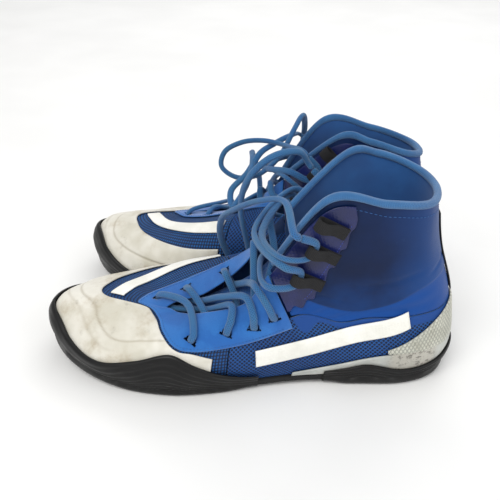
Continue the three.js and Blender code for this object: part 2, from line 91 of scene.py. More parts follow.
# stations round the boot: toe tip, along the outer side to the heel, back along the inner side;
# five levels from the feather line up to the top line
stationTable = np.array([
    [[-144, 8, 22], [-146, 8, 32], [-134, 6, 44], [-102, -2, 48], [-58, -15, 49]],
    [[-130, -19, 16], [-130, -19, 26], [-114, -14, 40], [-84, -14, 47], [-54, -17, 49]],
    [[-98, -39, 11], [-98, -42, 22], [-86, -36, 37], [-67, -28, 45], [-47, -21, 49]],
    [[-55, -47, 7.5], [-54, -51, 20], [-49, -47, 37], [-40, -38, 47], [-33, -25, 53]],
    [[-10, -41, 8], [-9, -45, 22], [-8, -44, 40], [-5, -37, 55], [-2, -27, 65]],
    [[35, -33, 9], [36, -38, 26], [30, -38, 52], [20, -35, 76], [12, -29, 92]],
    [[75, -30, 9.5], [75, -35, 30], [66, -34, 68], [55, -37, 112], [46, -37, 149]],
    [[110, -28, 9.5], [112, -32, 30], [104, -30, 68], [93, -34, 110], [84, -38, 148]],
    [[133, -18, 10], [137, -20, 30], [130, -19, 68], [118, -23, 106], [112, -26, 143]],
    [[142, 0, 11], [147, 0, 30], [141, 0, 68], [129, 1, 104], [122, 2, 141]],
    [[133, 18, 10], [137, 20, 30], [130, 19, 68], [119, 23, 106], [113, 25, 144]],
    [[110, 27, 9.5], [112, 30, 30], [104, 30, 68], [94, 32, 112], [88, 33, 151]],
    [[75, 26, 9.5], [76, 31, 30], [68, 33, 68], [62, 32, 112], [63, 29, 151]],
    [[35, 23, 10], [36, 30, 28], [30, 33, 56], [23, 27, 86], [22, 17, 109]],
    [[-10, 27, 10], [-10, 36, 28], [-10, 38, 55], [-9, 25, 73], [-3, 2, 77]],
    [[-55, 46, 8], [-55, 51, 24], [-53, 46, 48], [-46, 24, 61], [-30, -8, 58]],
    [[-98, 46, 11], [-98, 49, 24], [-92, 40, 43], [-74, 16, 52], [-50, -11, 52]],
    [[-129, 33, 16], [-130, 35, 27], [-120, 28, 42], [-91, 8, 50], [-56, -13, 50]],
], float)
stationCount = len(stationTable)
# one straight-on level more below the feather line and above the top line
stationRows = np.concatenate([
    2 * stationTable[:, :1] - stationTable[:, 1:2],
    stationTable,
    2 * stationTable[:, 4:] - stationTable[:, 3:4],
], axis=1)

# plies and gaps in mm from the foot surface outwards
fit = {"basePly": 1.2, "overlayGap": 0.8, "overlayPly": 1.0, "soleGap": 0.6, "soleWall": 2.2}
overlay = fit["basePly"] + fit["overlayGap"]
overlayTop = overlay + fit["overlayPly"]
wallLift = overlayTop + fit["soleGap"]
# the right boot: where it stands, which way it turns, and how its outer shaft wall leans in above the ankle
rightBoot = {
    "offset": (7.4, 104.4),
    "turn": -13.8,
    "slump": 0.47,
    "slumpFrom": 60.04,
    "slumpTo": 154.84,
    "innerWall": 27.03,
}
# layers under the foot: each line is (out from the feather line, rise)
insole = {"top": (-2.4, 4.0), "underside": (-1.8, 0.0), "crown": 0.6}
midsole = {"top": (2.9, -0.7), "underside": (2.9, -4.5), "crown": 0.0}
surfaceStep = 0.02  # half the reach of a central difference, in turns or levels


def blendWeights(t):
    # Catmull-Rom weights of the four neighbours of a span
    return np.stack([
        0.5 * (-t + 2 * t ** 2 - t ** 3),
        0.5 * (2 - 5 * t ** 2 + 3 * t ** 3),
        0.5 * (t + 4 * t ** 2 - 3 * t ** 3),
        0.5 * (t ** 3 - t ** 2),
    ])


def footPoint(turn, level):
    # sum over 4 x 4 neighbouring stations and levels of weight(turn) * weight(level) * station point
    turn, level = np.broadcast_arrays(np.asarray(turn, float), np.asarray(level, float))
    i = np.floor(turn).astype(int)
    j = np.clip(np.floor(level), 0, 3).astype(int)
    across, up = blendWeights(turn - i), blendWeights(level - j)
    total = np.zeros(turn.shape + (3,))
    for k in range(4):
        for m in range(4):
            total += (across[k] * up[m])[..., None] * stationRows[(i + k - 1) % stationCount, j + m]
    return total


def unit(v):
    # v / |v|
    return v / np.maximum(np.linalg.norm(v, axis=-1, keepdims=True), 1e-12)


def frameOn(turn, level):
    # x along the turn, y up the level, z outwards: central differences, squared up
    turn, level = np.asarray(turn, float), np.asarray(level, float)
    u = footPoint(turn + surfaceStep, level) - footPoint(turn - surfaceStep, level)
    v = footPoint(turn, level + surfaceStep) - footPoint(turn, level - surfaceStep)
    z = unit(np.cross(u, v))
    y = unit(v)
    x = unit(np.cross(y, z))
    return x, np.cross(z, x), z


def skin(turn, level, lift):
    # foot surface plus lift times its outward normal
    z = frameOn(turn, level)[2]
    return footPoint(turn, level) + z * np.asarray(lift, float)[..., None]


def soleEdge(turn, out, rise):
    # feather line moved out sideways in plan and set at a height
    p = footPoint(turn, 0)
    run = footPoint(np.asarray(turn) + surfaceStep, 0) - footPoint(np.asarray(turn) - surfaceStep, 0)
    reach = np.hypot(run[..., 0], run[..., 1])
    return np.stack([
        p[..., 0] + out * run[..., 1] / reach,
        p[..., 1] - out * run[..., 0] / reach,
        p[..., 2] + rise,
    ], axis=-1)


def table(pairs):
    # a smooth line through (x, value) pairs: cubic pieces whose slopes are the means of the neighbours'
    xs, ys = np.array(pairs, float).T
    steps = np.diff(ys) / np.diff(xs)
    slopes = np.concatenate([steps[:1], (steps[1:] + steps[:-1]) / 2, steps[-1:]])

    def read(x):
        x = np.clip(np.asarray(x, float), xs[0], xs[-1])
        k = np.clip(np.searchsorted(xs, x, side="right") - 1, 0, len(xs) - 2)
        wide = xs[k + 1] - xs[k]
        t = (x - xs[k]) / wide
        curve = t * t * (3 - 2 * t)
        leaving, arriving = slopes[k] * wide * t * (1 - t) ** 2, slopes[k + 1] * wide * t * t * (1 - t)
        return ys[k] * (1 - curve) + ys[k + 1] * curve + leaving - arriving

    return read


def flat(value):
    # the same level all round
    return lambda x: np.full(np.shape(x), float(value))


def ease(x, low, high):
    # 0 below low, 1 above high, smooth between
    t = np.clip((x - low) / (high - low), 0, 1)
    return t * t * (3 - 2 * t)


def bump(x, centre, width):
    # exp(-((x - centre) / width) ** 2)
    return np.exp(-((x - centre) / width) ** 2)


def slump(points):
    # above the ankle all that stands out from the inner wall leans in: y -> wall - (wall - y) * (1 - share(z))
    share = rightBoot["slump"] * ease(points[..., 2], rightBoot["slumpFrom"], rightBoot["slumpTo"])
    wall = rightBoot["innerWall"]
    return np.stack([points[..., 0], wall - (wall - points[..., 1]) * (1 - share), points[..., 2]], axis=-1)


def pairShift():
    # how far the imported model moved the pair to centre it, in mm: middle of the left insole's box
    # less middle of the insole's own outline
    ring = soleEdge(np.linspace(0, stationCount, 361), insole["underside"][0], 0)[:, :2]
    box = np.array(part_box("left_sockliner"))[:, :2]
    return np.append(box.sum(axis=0) * 500 - (ring.min(axis=0) + ring.max(axis=0)) / 2, 0.0)


shift = pairShift()
print("pair shift in mm", np.round(shift, 3))


def placed(side, points):
    # boot frame in mm to the shared frame in metres; the right boot is slumped, mirrored, turned and set aside
    points = np.asarray(points, float)
    if side == "left":
        return (points + shift) / 1000
    p = slump(points) * [1, -1, 1]
    a = math.radians(rightBoot["turn"])
    x = p[..., 0] * math.cos(a) - p[..., 1] * math.sin(a) + rightBoot["offset"][0]
    y = p[..., 0] * math.sin(a) + p[..., 1] * math.cos(a) + rightBoot["offset"][1]
    return (np.stack([x, y, p[..., 2]], axis=-1) + shift) / 1000


def makeObject(side, name, points, quads, uv, groups=None, channels=None, materials=()):
    # one mesh from whole arrays: points in the boot frame, quads as corner indices, uv per corner in mm
    if side == "right":
        quads = quads[:, ::-1]
        uv = uv[:, ::-1]
    mesh = bpy.data.meshes.new(f"{side}_{name}_detail")
    world = placed(side, points)
    mesh.vertices.add(len(world))
    mesh.vertices.foreach_set("co", world.astype(np.float32).ravel())
    mesh.loops.add(quads.size)
    mesh.loops.foreach_set("vertex_index", quads.astype(np.int32).ravel())
    mesh.polygons.add(len(quads))
    mesh.polygons.foreach_set("loop_start", np.arange(0, quads.size, 4, dtype=np.int32))
    mesh.polygons.foreach_set("use_smooth", np.full(len(quads), True))
    if groups is not None:
        mesh.polygons.foreach_set("material_index", groups.astype(np.int32))
    layer = mesh.uv_layers.new(name="millimetres")
    layer.data.foreach_set("uv", uv.astype(np.float32).ravel())
    for key, values in (channels or {}).items():
        attribute = mesh.attributes.new(key, "FLOAT", "POINT")
        attribute.data.foreach_set("value", np.asarray(values, np.float32).ravel())
    mesh.update(calc_edges=True)
    for material in materials:
        mesh.materials.append(material)
    made = bpy.data.objects.new(f"{side}_{name}_detail", mesh)
    bpy.context.scene.collection.objects.link(made)
    return made


def gridQuads(index):
    # the four corners of every cell of an index grid
    return np.stack([index[:-1, :-1], index[1:, :-1], index[1:, 1:], index[:-1, 1:]], axis=-1).reshape(-1, 4)


def shell(side, name, front, back, uv, keep=None, materials=(), channels=None):
    # two equal grids of points closed into one body: front faces, turned back faces, and a wall round
    # every open border, the rim of a cut-out included; material 0 is the front, 1 the back and the rim
    rows, columns = front.shape[:2]
    count = rows * columns
    index = np.arange(count).reshape(rows, columns)
    cells = gridQuads(index)
    if keep is not None:
        cells = cells[keep.reshape(-1)]
    a, b = cells, np.roll(cells, -1, axis=1)
    forward, backward = (a * count + b).ravel(), (b * count + a).ravel()
    rim = ~np.isin(forward, backward)
    start, end = a.ravel()[rim], b.ravel()[rim]
    wall = np.stack([end, start, start + count, end + count], axis=1)
    quads = np.concatenate([cells, cells[:, ::-1] + count, wall])
    flatUv = np.concatenate([uv.reshape(-1, 2)] * 2)
    groups = np.concatenate([np.zeros(len(cells)), np.ones(len(cells) + len(wall))])
    points = np.concatenate([front.reshape(-1, 3), back.reshape(-1, 3)])
    used, compact = np.unique(quads, return_inverse=True)
    quads = compact.reshape(quads.shape)
    both = {k: np.concatenate([v.ravel(), v.ravel()])[used] for k, v in (channels or {}).items()}
    corners = flatUv[used][quads]
    return makeObject(side, name, points[used], quads, corners, groups, both, materials)


def runAlong(path):
    # the length from the start to each point of a path
    return np.concatenate([[0], np.cumsum(np.linalg.norm(np.diff(path, axis=0), axis=-1))])


def millimetreMap(points):
    # running length along the turn at mid height, and up each line
    along = runAlong(points[:, points.shape[1] // 2])
    up = np.concatenate([
        np.zeros((len(points), 1)),
        np.cumsum(np.linalg.norm(np.diff(points, axis=1), axis=-1), axis=1),
    ], axis=1)
    return np.stack([np.broadcast_to(along[:, None], up.shape), up], axis=-1)


def patchLines(start, stop, low, high, cell):
    # a grid of turns and levels about one cell apart in mm
    probe = np.linspace(start, stop, 200)
    run = runAlong(footPoint(probe, (low(probe) + high(probe)) / 2))
    height = np.linalg.norm(footPoint(probe, high(probe)) - footPoint(probe, low(probe)), axis=-1).max()
    rows = max(4, int(run[-1] / cell)) + 1
    columns = max(3, int(height * 1.08 / cell)) + 1
    turn = np.interp(np.linspace(0, run[-1], rows), run, probe)
    v = np.linspace(0, 1, columns)
    turns = np.broadcast_to(turn[:, None], (rows, columns))
    levels = low(turns) + (high(turns) - low(turns)) * v
    return turns, levels


def rolled(uv, reach=0.8, drop=0.35):
    # how far the cut edge of a sheet is rounded off: drop * (1 - ease(distance to the border))
    s, t = uv[..., 0], uv[..., 1]
    near = np.minimum(np.minimum(s - s.min(), s.max() - s), np.minimum(t, t.max(axis=1, keepdims=True) - t))
    return drop * (1 - ease(near, -0.2, reach))


def panel(side, name, sheet):
    # one sheet of the upper: skin at the outer lift plus relief, closed by skin at the inner lift
    turns, levels = patchLines(*sheet["turns"], *sheet["lines"], sheet["cell"])
    inner, outer = (0.0, fit["basePly"]) if sheet["layer"] == "base" else (overlay, overlayTop)
    uv = millimetreMap(footPoint(turns, levels))
    lift = outer - rolled(uv)
    if "relief" in sheet:
        lift = lift + sheet["relief"](turns, levels, uv)
    front = skin(turns, levels, lift)
    back = skin(turns, levels, np.full(turns.shape, inner))
    kept = sheet["keep"](turns, levels) if "keep" in sheet else None
    given = {"turn": turns, "level": levels}
    if "channels" in sheet:
        given.update(sheet["channels"](turns, levels, uv))
    return shell(side, name, front, back, uv, kept, [finishes[look] for look in sheet["looks"]], given)


def smoothNoise(x, y, seed):
    # a few turned sine waves of falling size, about -1 to 1
    local = np.random.default_rng(seed)
    total = np.zeros(np.shape(x))
    for octave in range(5):
        angle, phase = local.uniform(0, math.tau, 2)
        pace = 1.7 ** octave
        total += np.sin((x * math.cos(angle) + y * math.sin(angle)) * pace + phase) / (1 + octave)
    return total / 2.3


def swell(uv, long, high, height, seed):
    # slow swells about height mm tall, spread over long by high mm
    return height * smoothNoise(uv[..., 0] / long, uv[..., 1] / high, seed)


def routeCurve(points, step):
    # centripetal Catmull-Rom through the points, resampled every step mm
    p = np.asarray(points, float)
    q = np.concatenate([[2 * p[0] - p[1]], p, [2 * p[-1] - p[-2]]])
    d = np.maximum(np.linalg.norm(np.diff(q, axis=0), axis=-1) ** 0.5, 1e-4)
    x0, x1, x2, x3 = q[:-3], q[1:-2], q[2:-1], q[3:]
    d0, d1, d2 = d[:-2, None], d[1:-1, None], d[2:, None]
    t1 = ((x1 - x0) / d0 - (x2 - x0) / (d0 + d1) + (x2 - x1) / d1) * d1
    t2 = ((x2 - x1) / d1 - (x3 - x1) / (d1 + d2) + (x3 - x2) / d2) * d1
    t = np.linspace(0, 1, 24, endpoint=False)[None, :, None]
    a, b, c, e = (v[:, None] for v in (x1, t1, 3 * (x2 - x1) - 2 * t1 - t2, 2 * (x1 - x2) + t1 + t2))
    dense = np.concatenate([(a + b * t + c * t ** 2 + e * t ** 3).reshape(-1, 3), p[-1:]])
    run = runAlong(dense)
    at = np.linspace(0, run[-1], max(4, int(run[-1] / step)) + 1)
    return np.stack([np.interp(at, run, dense[:, k]) for k in range(3)], axis=-1), at


def carriedFrames(path, firstSide):
    # sides carried along the path with the least twist: each is the last one less its part along the run
    run = unit(np.gradient(path, axis=0))
    side = np.asarray(firstSide, float)
    sides = []
    for direction in run:
        side = side - (side @ direction) * direction
        side = side / np.linalg.norm(side)
        sides.append(side)
    sides = np.array(sides)
    return sides, np.cross(run, sides)


def tube(side, name, path, along, sides, ups, profile, materials, taper=0.0):
    # a closed profile (x across, y up) carried along the path; within taper mm of an end the ring is scaled by
    # 0.3 + 0.7 * sqrt(distance / taper), and a fan closes it
    rings, around = len(path), len(profile)
    scale = np.ones(rings)
    if taper:
        ends = np.minimum(along, along[-1] - along)
        scale = 0.3 + 0.7 * np.sqrt(np.clip(ends / taper, 0, 1))
    ring = (sides[:, None] * profile[None, :, :1] + ups[:, None] * profile[None, :, 1:2]) * scale[:, None, None]
    points = path[:, None] + ring
    caps = np.stack([path[0], path[-1]])
    index = np.arange(rings * around).reshape(rings, around)
    wrapped = np.concatenate([index, index[:, :1]], axis=1)
    quads = gridQuads(wrapped)[:, ::-1]
    perimeter = np.linalg.norm(profile - np.roll(profile, 1, axis=0), axis=1).sum()
    lap = np.linspace(0, perimeter, around + 1)
    grid = np.stack(np.broadcast_arrays(along[:, None], lap[None]), axis=-1)
    position = np.arange(rings * (around + 1)).reshape(rings, around + 1)
    corners = grid.reshape(-1, 2)[gridQuads(position)[:, ::-1]]
    first, last = rings * around, rings * around + 1
    half = around // 2
    # caps as fans of four-cornered faces, two steps of the ring at a time
    even = np.arange(0, around, 2)
    nose = np.stack([wrapped[0, even], wrapped[0, even + 1], wrapped[0, even + 2], np.full(half, first)], axis=1)
    tail = np.stack([wrapped[-1, even + 2], wrapped[-1, even + 1], wrapped[-1, even], np.full(half, last)], axis=1)
    flatEnds = np.zeros((half, 4, 2))
    quads = np.concatenate([quads, nose, tail])
    corners = np.concatenate([corners, flatEnds, flatEnds + [along[-1], 0]])
    allPoints = np.concatenate([points.reshape(-1, 3), caps])
    return makeObject(side, name, allPoints, quads, corners, materials=materials)


def ovalProfile(width, height, count=12, power=2.4):
    # rounded oval: |x / a| ** n + |y / b| ** n = 1
    a = np.linspace(0, math.tau, count, endpoint=False)
    c, s = np.cos(a), np.sin(a)
    x = np.sign(c) * np.abs(c) ** (2 / power) * width / 2
    y = np.sign(s) * np.abs(s) ** (2 / power) * height / 2
    return np.stack([x, y], axis=-1)


def node(tree, kind, inputs=None, **settings):
    # adds one node; a socket given another node's output is linked, one given hex text gets the linear colour,
    # and any other value is set as it is
    made = tree.nodes.new(kind)
    for key, value in settings.items():
        setattr(made, key, value)
    for key, value in (inputs or {}).items():
        if isinstance(value, bpy.types.NodeSocket):
            tree.links.new(value, made.inputs[key])
        else:
            made.inputs[key].default_value = hexColour(value) if isinstance(value, str) else value
    return made


def startMaterial(name):
    # an empty node tree to build a finish in
    made = bpy.data.materials.new(name)
    made.use_nodes = True
    made.node_tree.nodes.clear()
    return made, made.node_tree


def finishMaterial(made, colour, height=None, strength=0.5, distance=0.0004, roughness=0.6, **sockets):
    # one shader: colour and roughness as values or sockets, a bump from height, other sockets as plain values
    tree = made.node_tree
    inputs = {"Base Color": colour, "Roughness": roughness, **sockets}
    if height is not None:
        raised = node(tree, "ShaderNodeBump", {"Height": height, "Strength": strength, "Distance": distance})
        inputs["Normal"] = raised.outputs["Normal"]
    shader = node(tree, "ShaderNodeBsdfPrincipled", inputs)
    node(tree, "ShaderNodeOutputMaterial", {"Surface": shader.outputs["BSDF"]})
    return made


def maths(tree, operation, first, second=0.0, third=0.0):
    # one sum in the node tree
    return node(tree, "ShaderNodeMath", {0: first, 1: second, 2: third}, operation=operation).outputs[0]


def mixed(tree, factor, first, second):
    # first * (1 - factor) + second * factor, on colours
    return node(tree, "ShaderNodeMix", {0: factor, 6: first, 7: second}, data_type="RGBA").outputs[2]


def places(tree):
    # where a point is, in metres in the shared frame
    return node(tree, "ShaderNodeTexCoord").outputs["Object"]


def noiseAt(tree, where, scale, detail=3.0, roughness=0.55, distortion=0.0):
    # soft noise about 0 to 1; scale is in grains per metre, so a grain is 1000 / scale mm
    made = node(tree, "ShaderNodeTexNoise", {
        "Vector": where, "Scale": scale, "Detail": detail, "Roughness": roughness, "Distortion": distortion,
    })
    return made.outputs[0]


def between(tree, value, low, high, first=0.0, second=1.0):
    # first below low, second above high, smooth between
    made = node(tree, "ShaderNodeMapRange", {
        "Value": value, "From Min": low, "From Max": high, "To Min": first, "To Max": second,
    }, interpolation_type="SMOOTHSTEP")
    return made.outputs[0]


def cloud(tree, scale, detail=3.0, low=0.3, high=0.7, roughness=0.55):
    # slow patches: noise pushed towards 0 and 1
    return between(tree, noiseAt(tree, places(tree), scale, detail, roughness), low, high)


def lengths(tree):
    # the piece's own UV map holds mm along and mm up
    flatMap = node(tree, "ShaderNodeUVMap", uv_map="millimetres")
    parts = node(tree, "ShaderNodeSeparateXYZ", {0: flatMap.outputs[0]})
    return parts.outputs[0], parts.outputs[1]


def wave(tree, value, pitch, offset=0.0):
    # 0.5 + 0.5 * sin(2 pi value / pitch + offset)
    angle = maths(tree, "MULTIPLY_ADD", value, math.tau / pitch, offset)
    return maths(tree, "MULTIPLY_ADD", maths(tree, "SINE", angle), 0.5, 0.5)


def channel(tree, name):
    # a value per point that the mesh carries
    return node(tree, "ShaderNodeAttribute", attribute_name=name, attribute_type="GEOMETRY").outputs["Fac"]


def soiled(tree, colour, dirt, scale, low, high, amount):
    # dirt laid over a colour where coarse noise times fine noise is high
    where = places(tree)
    coarse = between(tree, noiseAt(tree, where, scale, 5.0, 0.62), low, high)
    fine = between(tree, noiseAt(tree, where, scale * 6, 4.0, 0.7), 0.35, 0.7, 0.35, 1.0)
    share = maths(tree, "MULTIPLY", maths(tree, "MULTIPLY", coarse, fine), amount)
    return mixed(tree, share, colour, dirt)


def mouldedRubber():
    # rubber from a steel mould: near black, satin where the mould polished it, dusty in patches
    made, tree = startMaterial("moulded_rubber")
    where = places(tree)
    grain = noiseAt(tree, where, 900, 2.0)
    dust = cloud(tree, 120, 5.0, 0.52, 0.78, 0.7)
    colour = mixed(tree, maths(tree, "MULTIPLY", dust, 0.22), "#070708", "#23211f")
    rough = between(tree, noiseAt(tree, where, 45, 4.0), 0.3, 0.7, 0.34, 0.55)
    return finishMaterial(made, colour, grain, 0.25, 0.0002, rough, **{"Specular IOR Level": 0.35})


def foamedEva():
    # foamed EVA: matt and very finely pitted
    made, tree = startMaterial("foamed_eva")
    return finishMaterial(made, "#19191a", noiseAt(tree, places(tree), 1400, 2.0), 0.5, 0.0002, 0.85)


def coatedLeather(name, hexBase, hexDirt, amount, roughness=0.5):
    # polyurethane coated synthetic leather: soft sheen, fine pebble grain, yellowed and scuffed by use;
    # the pebbles are drawn at 0.9 mm, the real ones are about 0.3 mm
    made, tree = startMaterial(name)
    where = places(tree)
    pebble = node(tree, "ShaderNodeTexVoronoi", {"Vector": where, "Scale": 1100.0}).outputs["Distance"]
    crease = noiseAt(tree, where, 70, 6.0, 0.65, 1.2)
    height = maths(tree, "ADD", maths(tree, "MULTIPLY", pebble, 0.3), crease)
    base = mixed(tree, cloud(tree, 30, low=0.35, high=0.65), hexBase, "#cfcbbc")
    shaded = mixed(tree, maths(tree, "MULTIPLY", channel(tree, "crease"), 0.5), base, "#a59b86")
    stained = soiled(tree, shaded, hexDirt, 42.0, 0.46, 0.7, amount)
    scratched = soiled(tree, stained, "#8b8578", 95.0, 0.6, 0.72, amount * 0.6)
    rough = between(tree, crease, 0.35, 0.65, roughness - 0.08, roughness + 0.14)
    return finishMaterial(made, scratched, height, 0.35, 0.0006, rough, IOR=1.48)


def dottedMesh(pitch):
    # warp-knitted polyester mesh: a matt blue net with small pores in staggered rows painted near black as shade in
    # the holes, and a painted highlight on the raised threads, drawn coarser than the real net; plain royal cloth
    # where the piece's royal channel is 1
    made, tree = startMaterial("knitted_mesh")
    along, up = lengths(tree)
    crossed = maths(tree, "ADD", wave(tree, along, pitch, math.pi / 2), wave(tree, up, pitch, math.pi / 2))
    pore = between(tree, maths(tree, "ABSOLUTE", maths(tree, "SUBTRACT", crossed, 1.0)), 0.32, 0.5)
    thread = maths(tree, "MULTIPLY", wave(tree, along, 0.65), wave(tree, up, 0.65))
    base = mixed(tree, cloud(tree, 25, low=0.35, high=0.65), "#155299", "#12468a")
    # painted highlight: lighter blue where the threads stand up
    woven = mixed(tree, maths(tree, "MULTIPLY", thread, 0.3), base, "#3a78b8")
    # painted shade: the pores near black where the holes fall in shadow
    poresShaded = mixed(tree, pore, woven, "#061230")
    colour = mixed(tree, channel(tree, "royal"), poresShaded, "#0d4691")
    return finishMaterial(made, colour, thread, 0.5, 0.0003, 0.8)


def ribbedMesh():
    # mesh with close cords: gaps every 2.3 mm across and 2.6 mm along, painted dark as shade between the cords
    made, tree = startMaterial("ribbed_mesh")
    along, up = lengths(tree)
    rib = maths(tree, "POWER", wave(tree, along, 2.3), 0.7)
    bar = maths(tree, "POWER", wave(tree, up, 2.6), 0.5)
    raised = maths(tree, "MULTIPLY", rib, bar)
    base = mixed(tree, cloud(tree, 40), "#1560a6", "#125092")
    # painted shade: dark in the gaps between the cords
    colour = mixed(tree, between(tree, raised, 0.15, 0.7), "#051a3c", base)
    return finishMaterial(made, colour, raised, 0.8, 0.0006, 0.75)


def wovenSatin():
    # polyester satin: smooth floats catch the light, navy in front, with a painted sheen that turns it a lighter blue
    # towards the heel, and lighter in patches low down;
    # below the shaft's hem the same cloth is royal blue; floats drawn at 0.5 and 0.7 mm, coarser than real
    made, tree = startMaterial("woven_satin")
    along, up = lengths(tree)
    weave = maths(tree, "ADD", wave(tree, along, 0.7), wave(tree, up, 0.5))
    fromHeel = maths(tree, "ABSOLUTE", maths(tree, "SUBTRACT", channel(tree, "turn"), stationCount / 2))
    # painted sheen: the navy turns lighter blue towards the heel
    rearSheen = between(tree, fromHeel, 0.5, 2.4, 1.0, 0.0)
    low = between(tree, channel(tree, "level"), 2.2, 3.2, 0.45, 0.0)
    patches = cloud(tree, 16, 4.0, roughness=0.6)
    share = maths(tree, "ADD", maths(tree, "MULTIPLY", rearSheen, 0.8), maths(tree, "MULTIPLY", low, patches))
    navy = mixed(tree, patches, "#061a3e", "#0a2450")
    shaft = mixed(tree, share, navy, "#0c4488")
    rubbed = soiled(tree, shaft, "#4d7cb0", 55.0, 0.63, 0.72, 0.35)
    colour = mixed(tree, channel(tree, "hem"), "#0d4691", rubbed)
    return finishMaterial(made, colour, weave, 0.15, 0.0002, 0.46, **{"Specular IOR Level": 0.2})


def brushedSuede():
    # microsuede: short brushed nap, bright blue, lighter and darker where the nap was stroked
    made, tree = startMaterial("brushed_suede")
    where = places(tree)
    nap = noiseAt(tree, where, 1500, 3.0, 0.7)
    stroke = between(tree, noiseAt(tree, where, 55, 4.0, 0.6, 0.8), 0.35, 0.65)
    colour = mixed(tree, stroke, "#1a61b0", "#256fbc")
    speckled = mixed(tree, between(tree, nap, 0.4, 0.62, 0.0, 0.3), colour, "#195aa2")
    return finishMaterial(made, speckled, nap, 0.5, 0.0003, 0.92, **{"Sheen Weight": 0.5, "Sheen Roughness": 0.5})


def ribKnit(name, light, dark, pitch):
    # rib knit: slanted rows of stitches every pitch mm with painted shade in the grooves between them, a soft fuzzy
    # sheen
    made, tree = startMaterial(name)
    along, around = lengths(tree)
    slanted = maths(tree, "MULTIPLY_ADD", wave(tree, around, 1.6), 0.5, along)
    rib = wave(tree, slanted, pitch)
    fuzz = noiseAt(tree, places(tree), 1300, 2.0)
    height = maths(tree, "ADD", rib, maths(tree, "MULTIPLY", fuzz, 0.4))
    base = mixed(tree, cloud(tree, 60), light, mixed(tree, 0.5, light, dark))
    # painted shade: the dark colour in the grooves between the ribs
    colour = mixed(tree, between(tree, rib, 0.0, 0.6), dark, base)
    return finishMaterial(made, colour, height, 0.7, 0.0004, 0.9, **{"Sheen Weight": 0.3})


def tricotLining():
    # brushed tricot: a matt bright lining with faint rows every 0.9 mm
    made, tree = startMaterial("tricot_lining")
    colour = mixed(tree, cloud(tree, 35), "#1a4f8b", "#1f5c9c")
    return finishMaterial(made, colour, wave(tree, lengths(tree)[1], 0.9), 0.3, 0.0002, 0.85, **{"Sheen Weight": 0.3})


def bondedFilm(name, first, second, roughness):
    # thermoplastic film pressed onto the cloth: smooth and glossy, the cloth under it shows every 2.2 mm
    made, tree = startMaterial(name)
    along, up = lengths(tree)
    weave = maths(tree, "MULTIPLY", wave(tree, along, 2.2), wave(tree, up, 2.2))
    colour = mixed(tree, cloud(tree, 50, 4.0, 0.35, 0.65), first, second)
    return finishMaterial(made, colour, weave, 0.35, 0.0003, roughness, IOR=1.5)


def wovenTape():
    # woven polyester webbing: black, ribs across the tape every 1 mm, painted a little lighter on their crests and
    # darker between them as light and shade
    made, tree = startMaterial("woven_tape")
    along, around = lengths(tree)
    rib = wave(tree, along, 1.0)
    height = maths(tree, "ADD", rib, maths(tree, "MULTIPLY", wave(tree, around, 1.3), 0.5))
    # painted light and shade: lighter on the rib crests, darker between them
    return finishMaterial(made, mixed(tree, rib, "#070708", "#1d1d21"), height, 0.6, 0.0004, 0.8)


def embossedFilm():
    # grey-white coated synthetic, embossed with close lozenges; painted shade darkens the grooves between them
    made, tree = startMaterial("embossed_synthetic")
    base = mixed(tree, cloud(tree, 40, 4.0, 0.35, 0.65), "#d6d6c9", "#c4c5b8")
    # painted shade: darker grey in the grooves between the lozenges
    lines = mixed(tree, between(tree, channel(tree, "cell"), 0.15, 0.75, 0.75, 0.0), base, "#8e8f86")
    colour = soiled(tree, lines, "#8a8472", 60.0, 0.5, 0.7, 0.5)
    return finishMaterial(made, colour, noiseAt(tree, places(tree), 800, 3.0), 0.25, 0.0002, 0.5)


def scuffedStrip():
    # smooth grey-white coated strip, rubbed dull, with dark scuffs on the outer side of the heel
    made, tree = startMaterial("scuffed_strip")
    where = places(tree)
    turn = channel(tree, "turn")
    base = mixed(tree, cloud(tree, 50, 4.0, 0.35, 0.65), "#c3c5bf", "#b3b6b1")
    zone = maths(tree, "MULTIPLY", between(tree, turn, 6.5, 6.75), between(tree, turn, 7.6, 7.95, 1.0, 0.0))
    speck = between(tree, noiseAt(tree, where, 260, 6.0, 0.75), 0.5, 0.62)
    patch = mixed(tree, maths(tree, "MULTIPLY", zone, 0.55), base, "#b9b1a2")
    scuff = maths(tree, "MULTIPLY", maths(tree, "MULTIPLY", zone, speck), 0.7)
    colour = soiled(tree, mixed(tree, scuff, patch, "#4b463e"), "#6f6a60", 120.0, 0.58, 0.72, 0.5)
    return finishMaterial(made, colour, noiseAt(tree, where, 500, 4.0), 0.25, 0.0003, 0.48)


def braidedLace():
    # braided polyester lace: plaits cross every 1.7 mm in a herringbone with painted shade between them, drawn a
    # little coarser than real
    made, tree = startMaterial("braided_lace")
    along, around = lengths(tree)
    right = wave(tree, maths(tree, "ADD", along, around), 1.7)
    left = wave(tree, maths(tree, "SUBTRACT", along, around), 1.7)
    plait = maths(tree, "MAXIMUM", right, left)
    base = mixed(tree, cloud(tree, 70), "#33719f", "#2b6aa6")
    # painted shade: darker between the plaits
    colour = mixed(tree, between(tree, plait, 0.3, 0.95), "#1d4c78", base)
    return finishMaterial(made, colour, plait, 0.7, 0.0004, 0.85, **{"Sheen Weight": 0.25})


def clearTip():
    # acetate film heat-shrunk over the lace end: glossy, the braid's blue shows through
    made, tree = startMaterial("acetate_tip")
    rings = wave(tree, lengths(tree)[0], 2.4)
    return finishMaterial(made, mixed(tree, rings, "#245480", "#2e6596"), rings, 0.2, 0.0002, 0.18,
                          **{"Coat Weight": 0.6})


def sewingThread(name, hexBase):
    # twisted polyester thread: a fine matt line, a little darker between the fibres
    made, tree = startMaterial(name)
    grain = noiseAt(tree, places(tree), 2200, 1.0)
    shaded = mixed(tree, 0.75, mixed(tree, grain, hexBase, "#000000"), hexBase)
    return finishMaterial(made, shaded, grain, 0.5, 0.0002, 0.7)


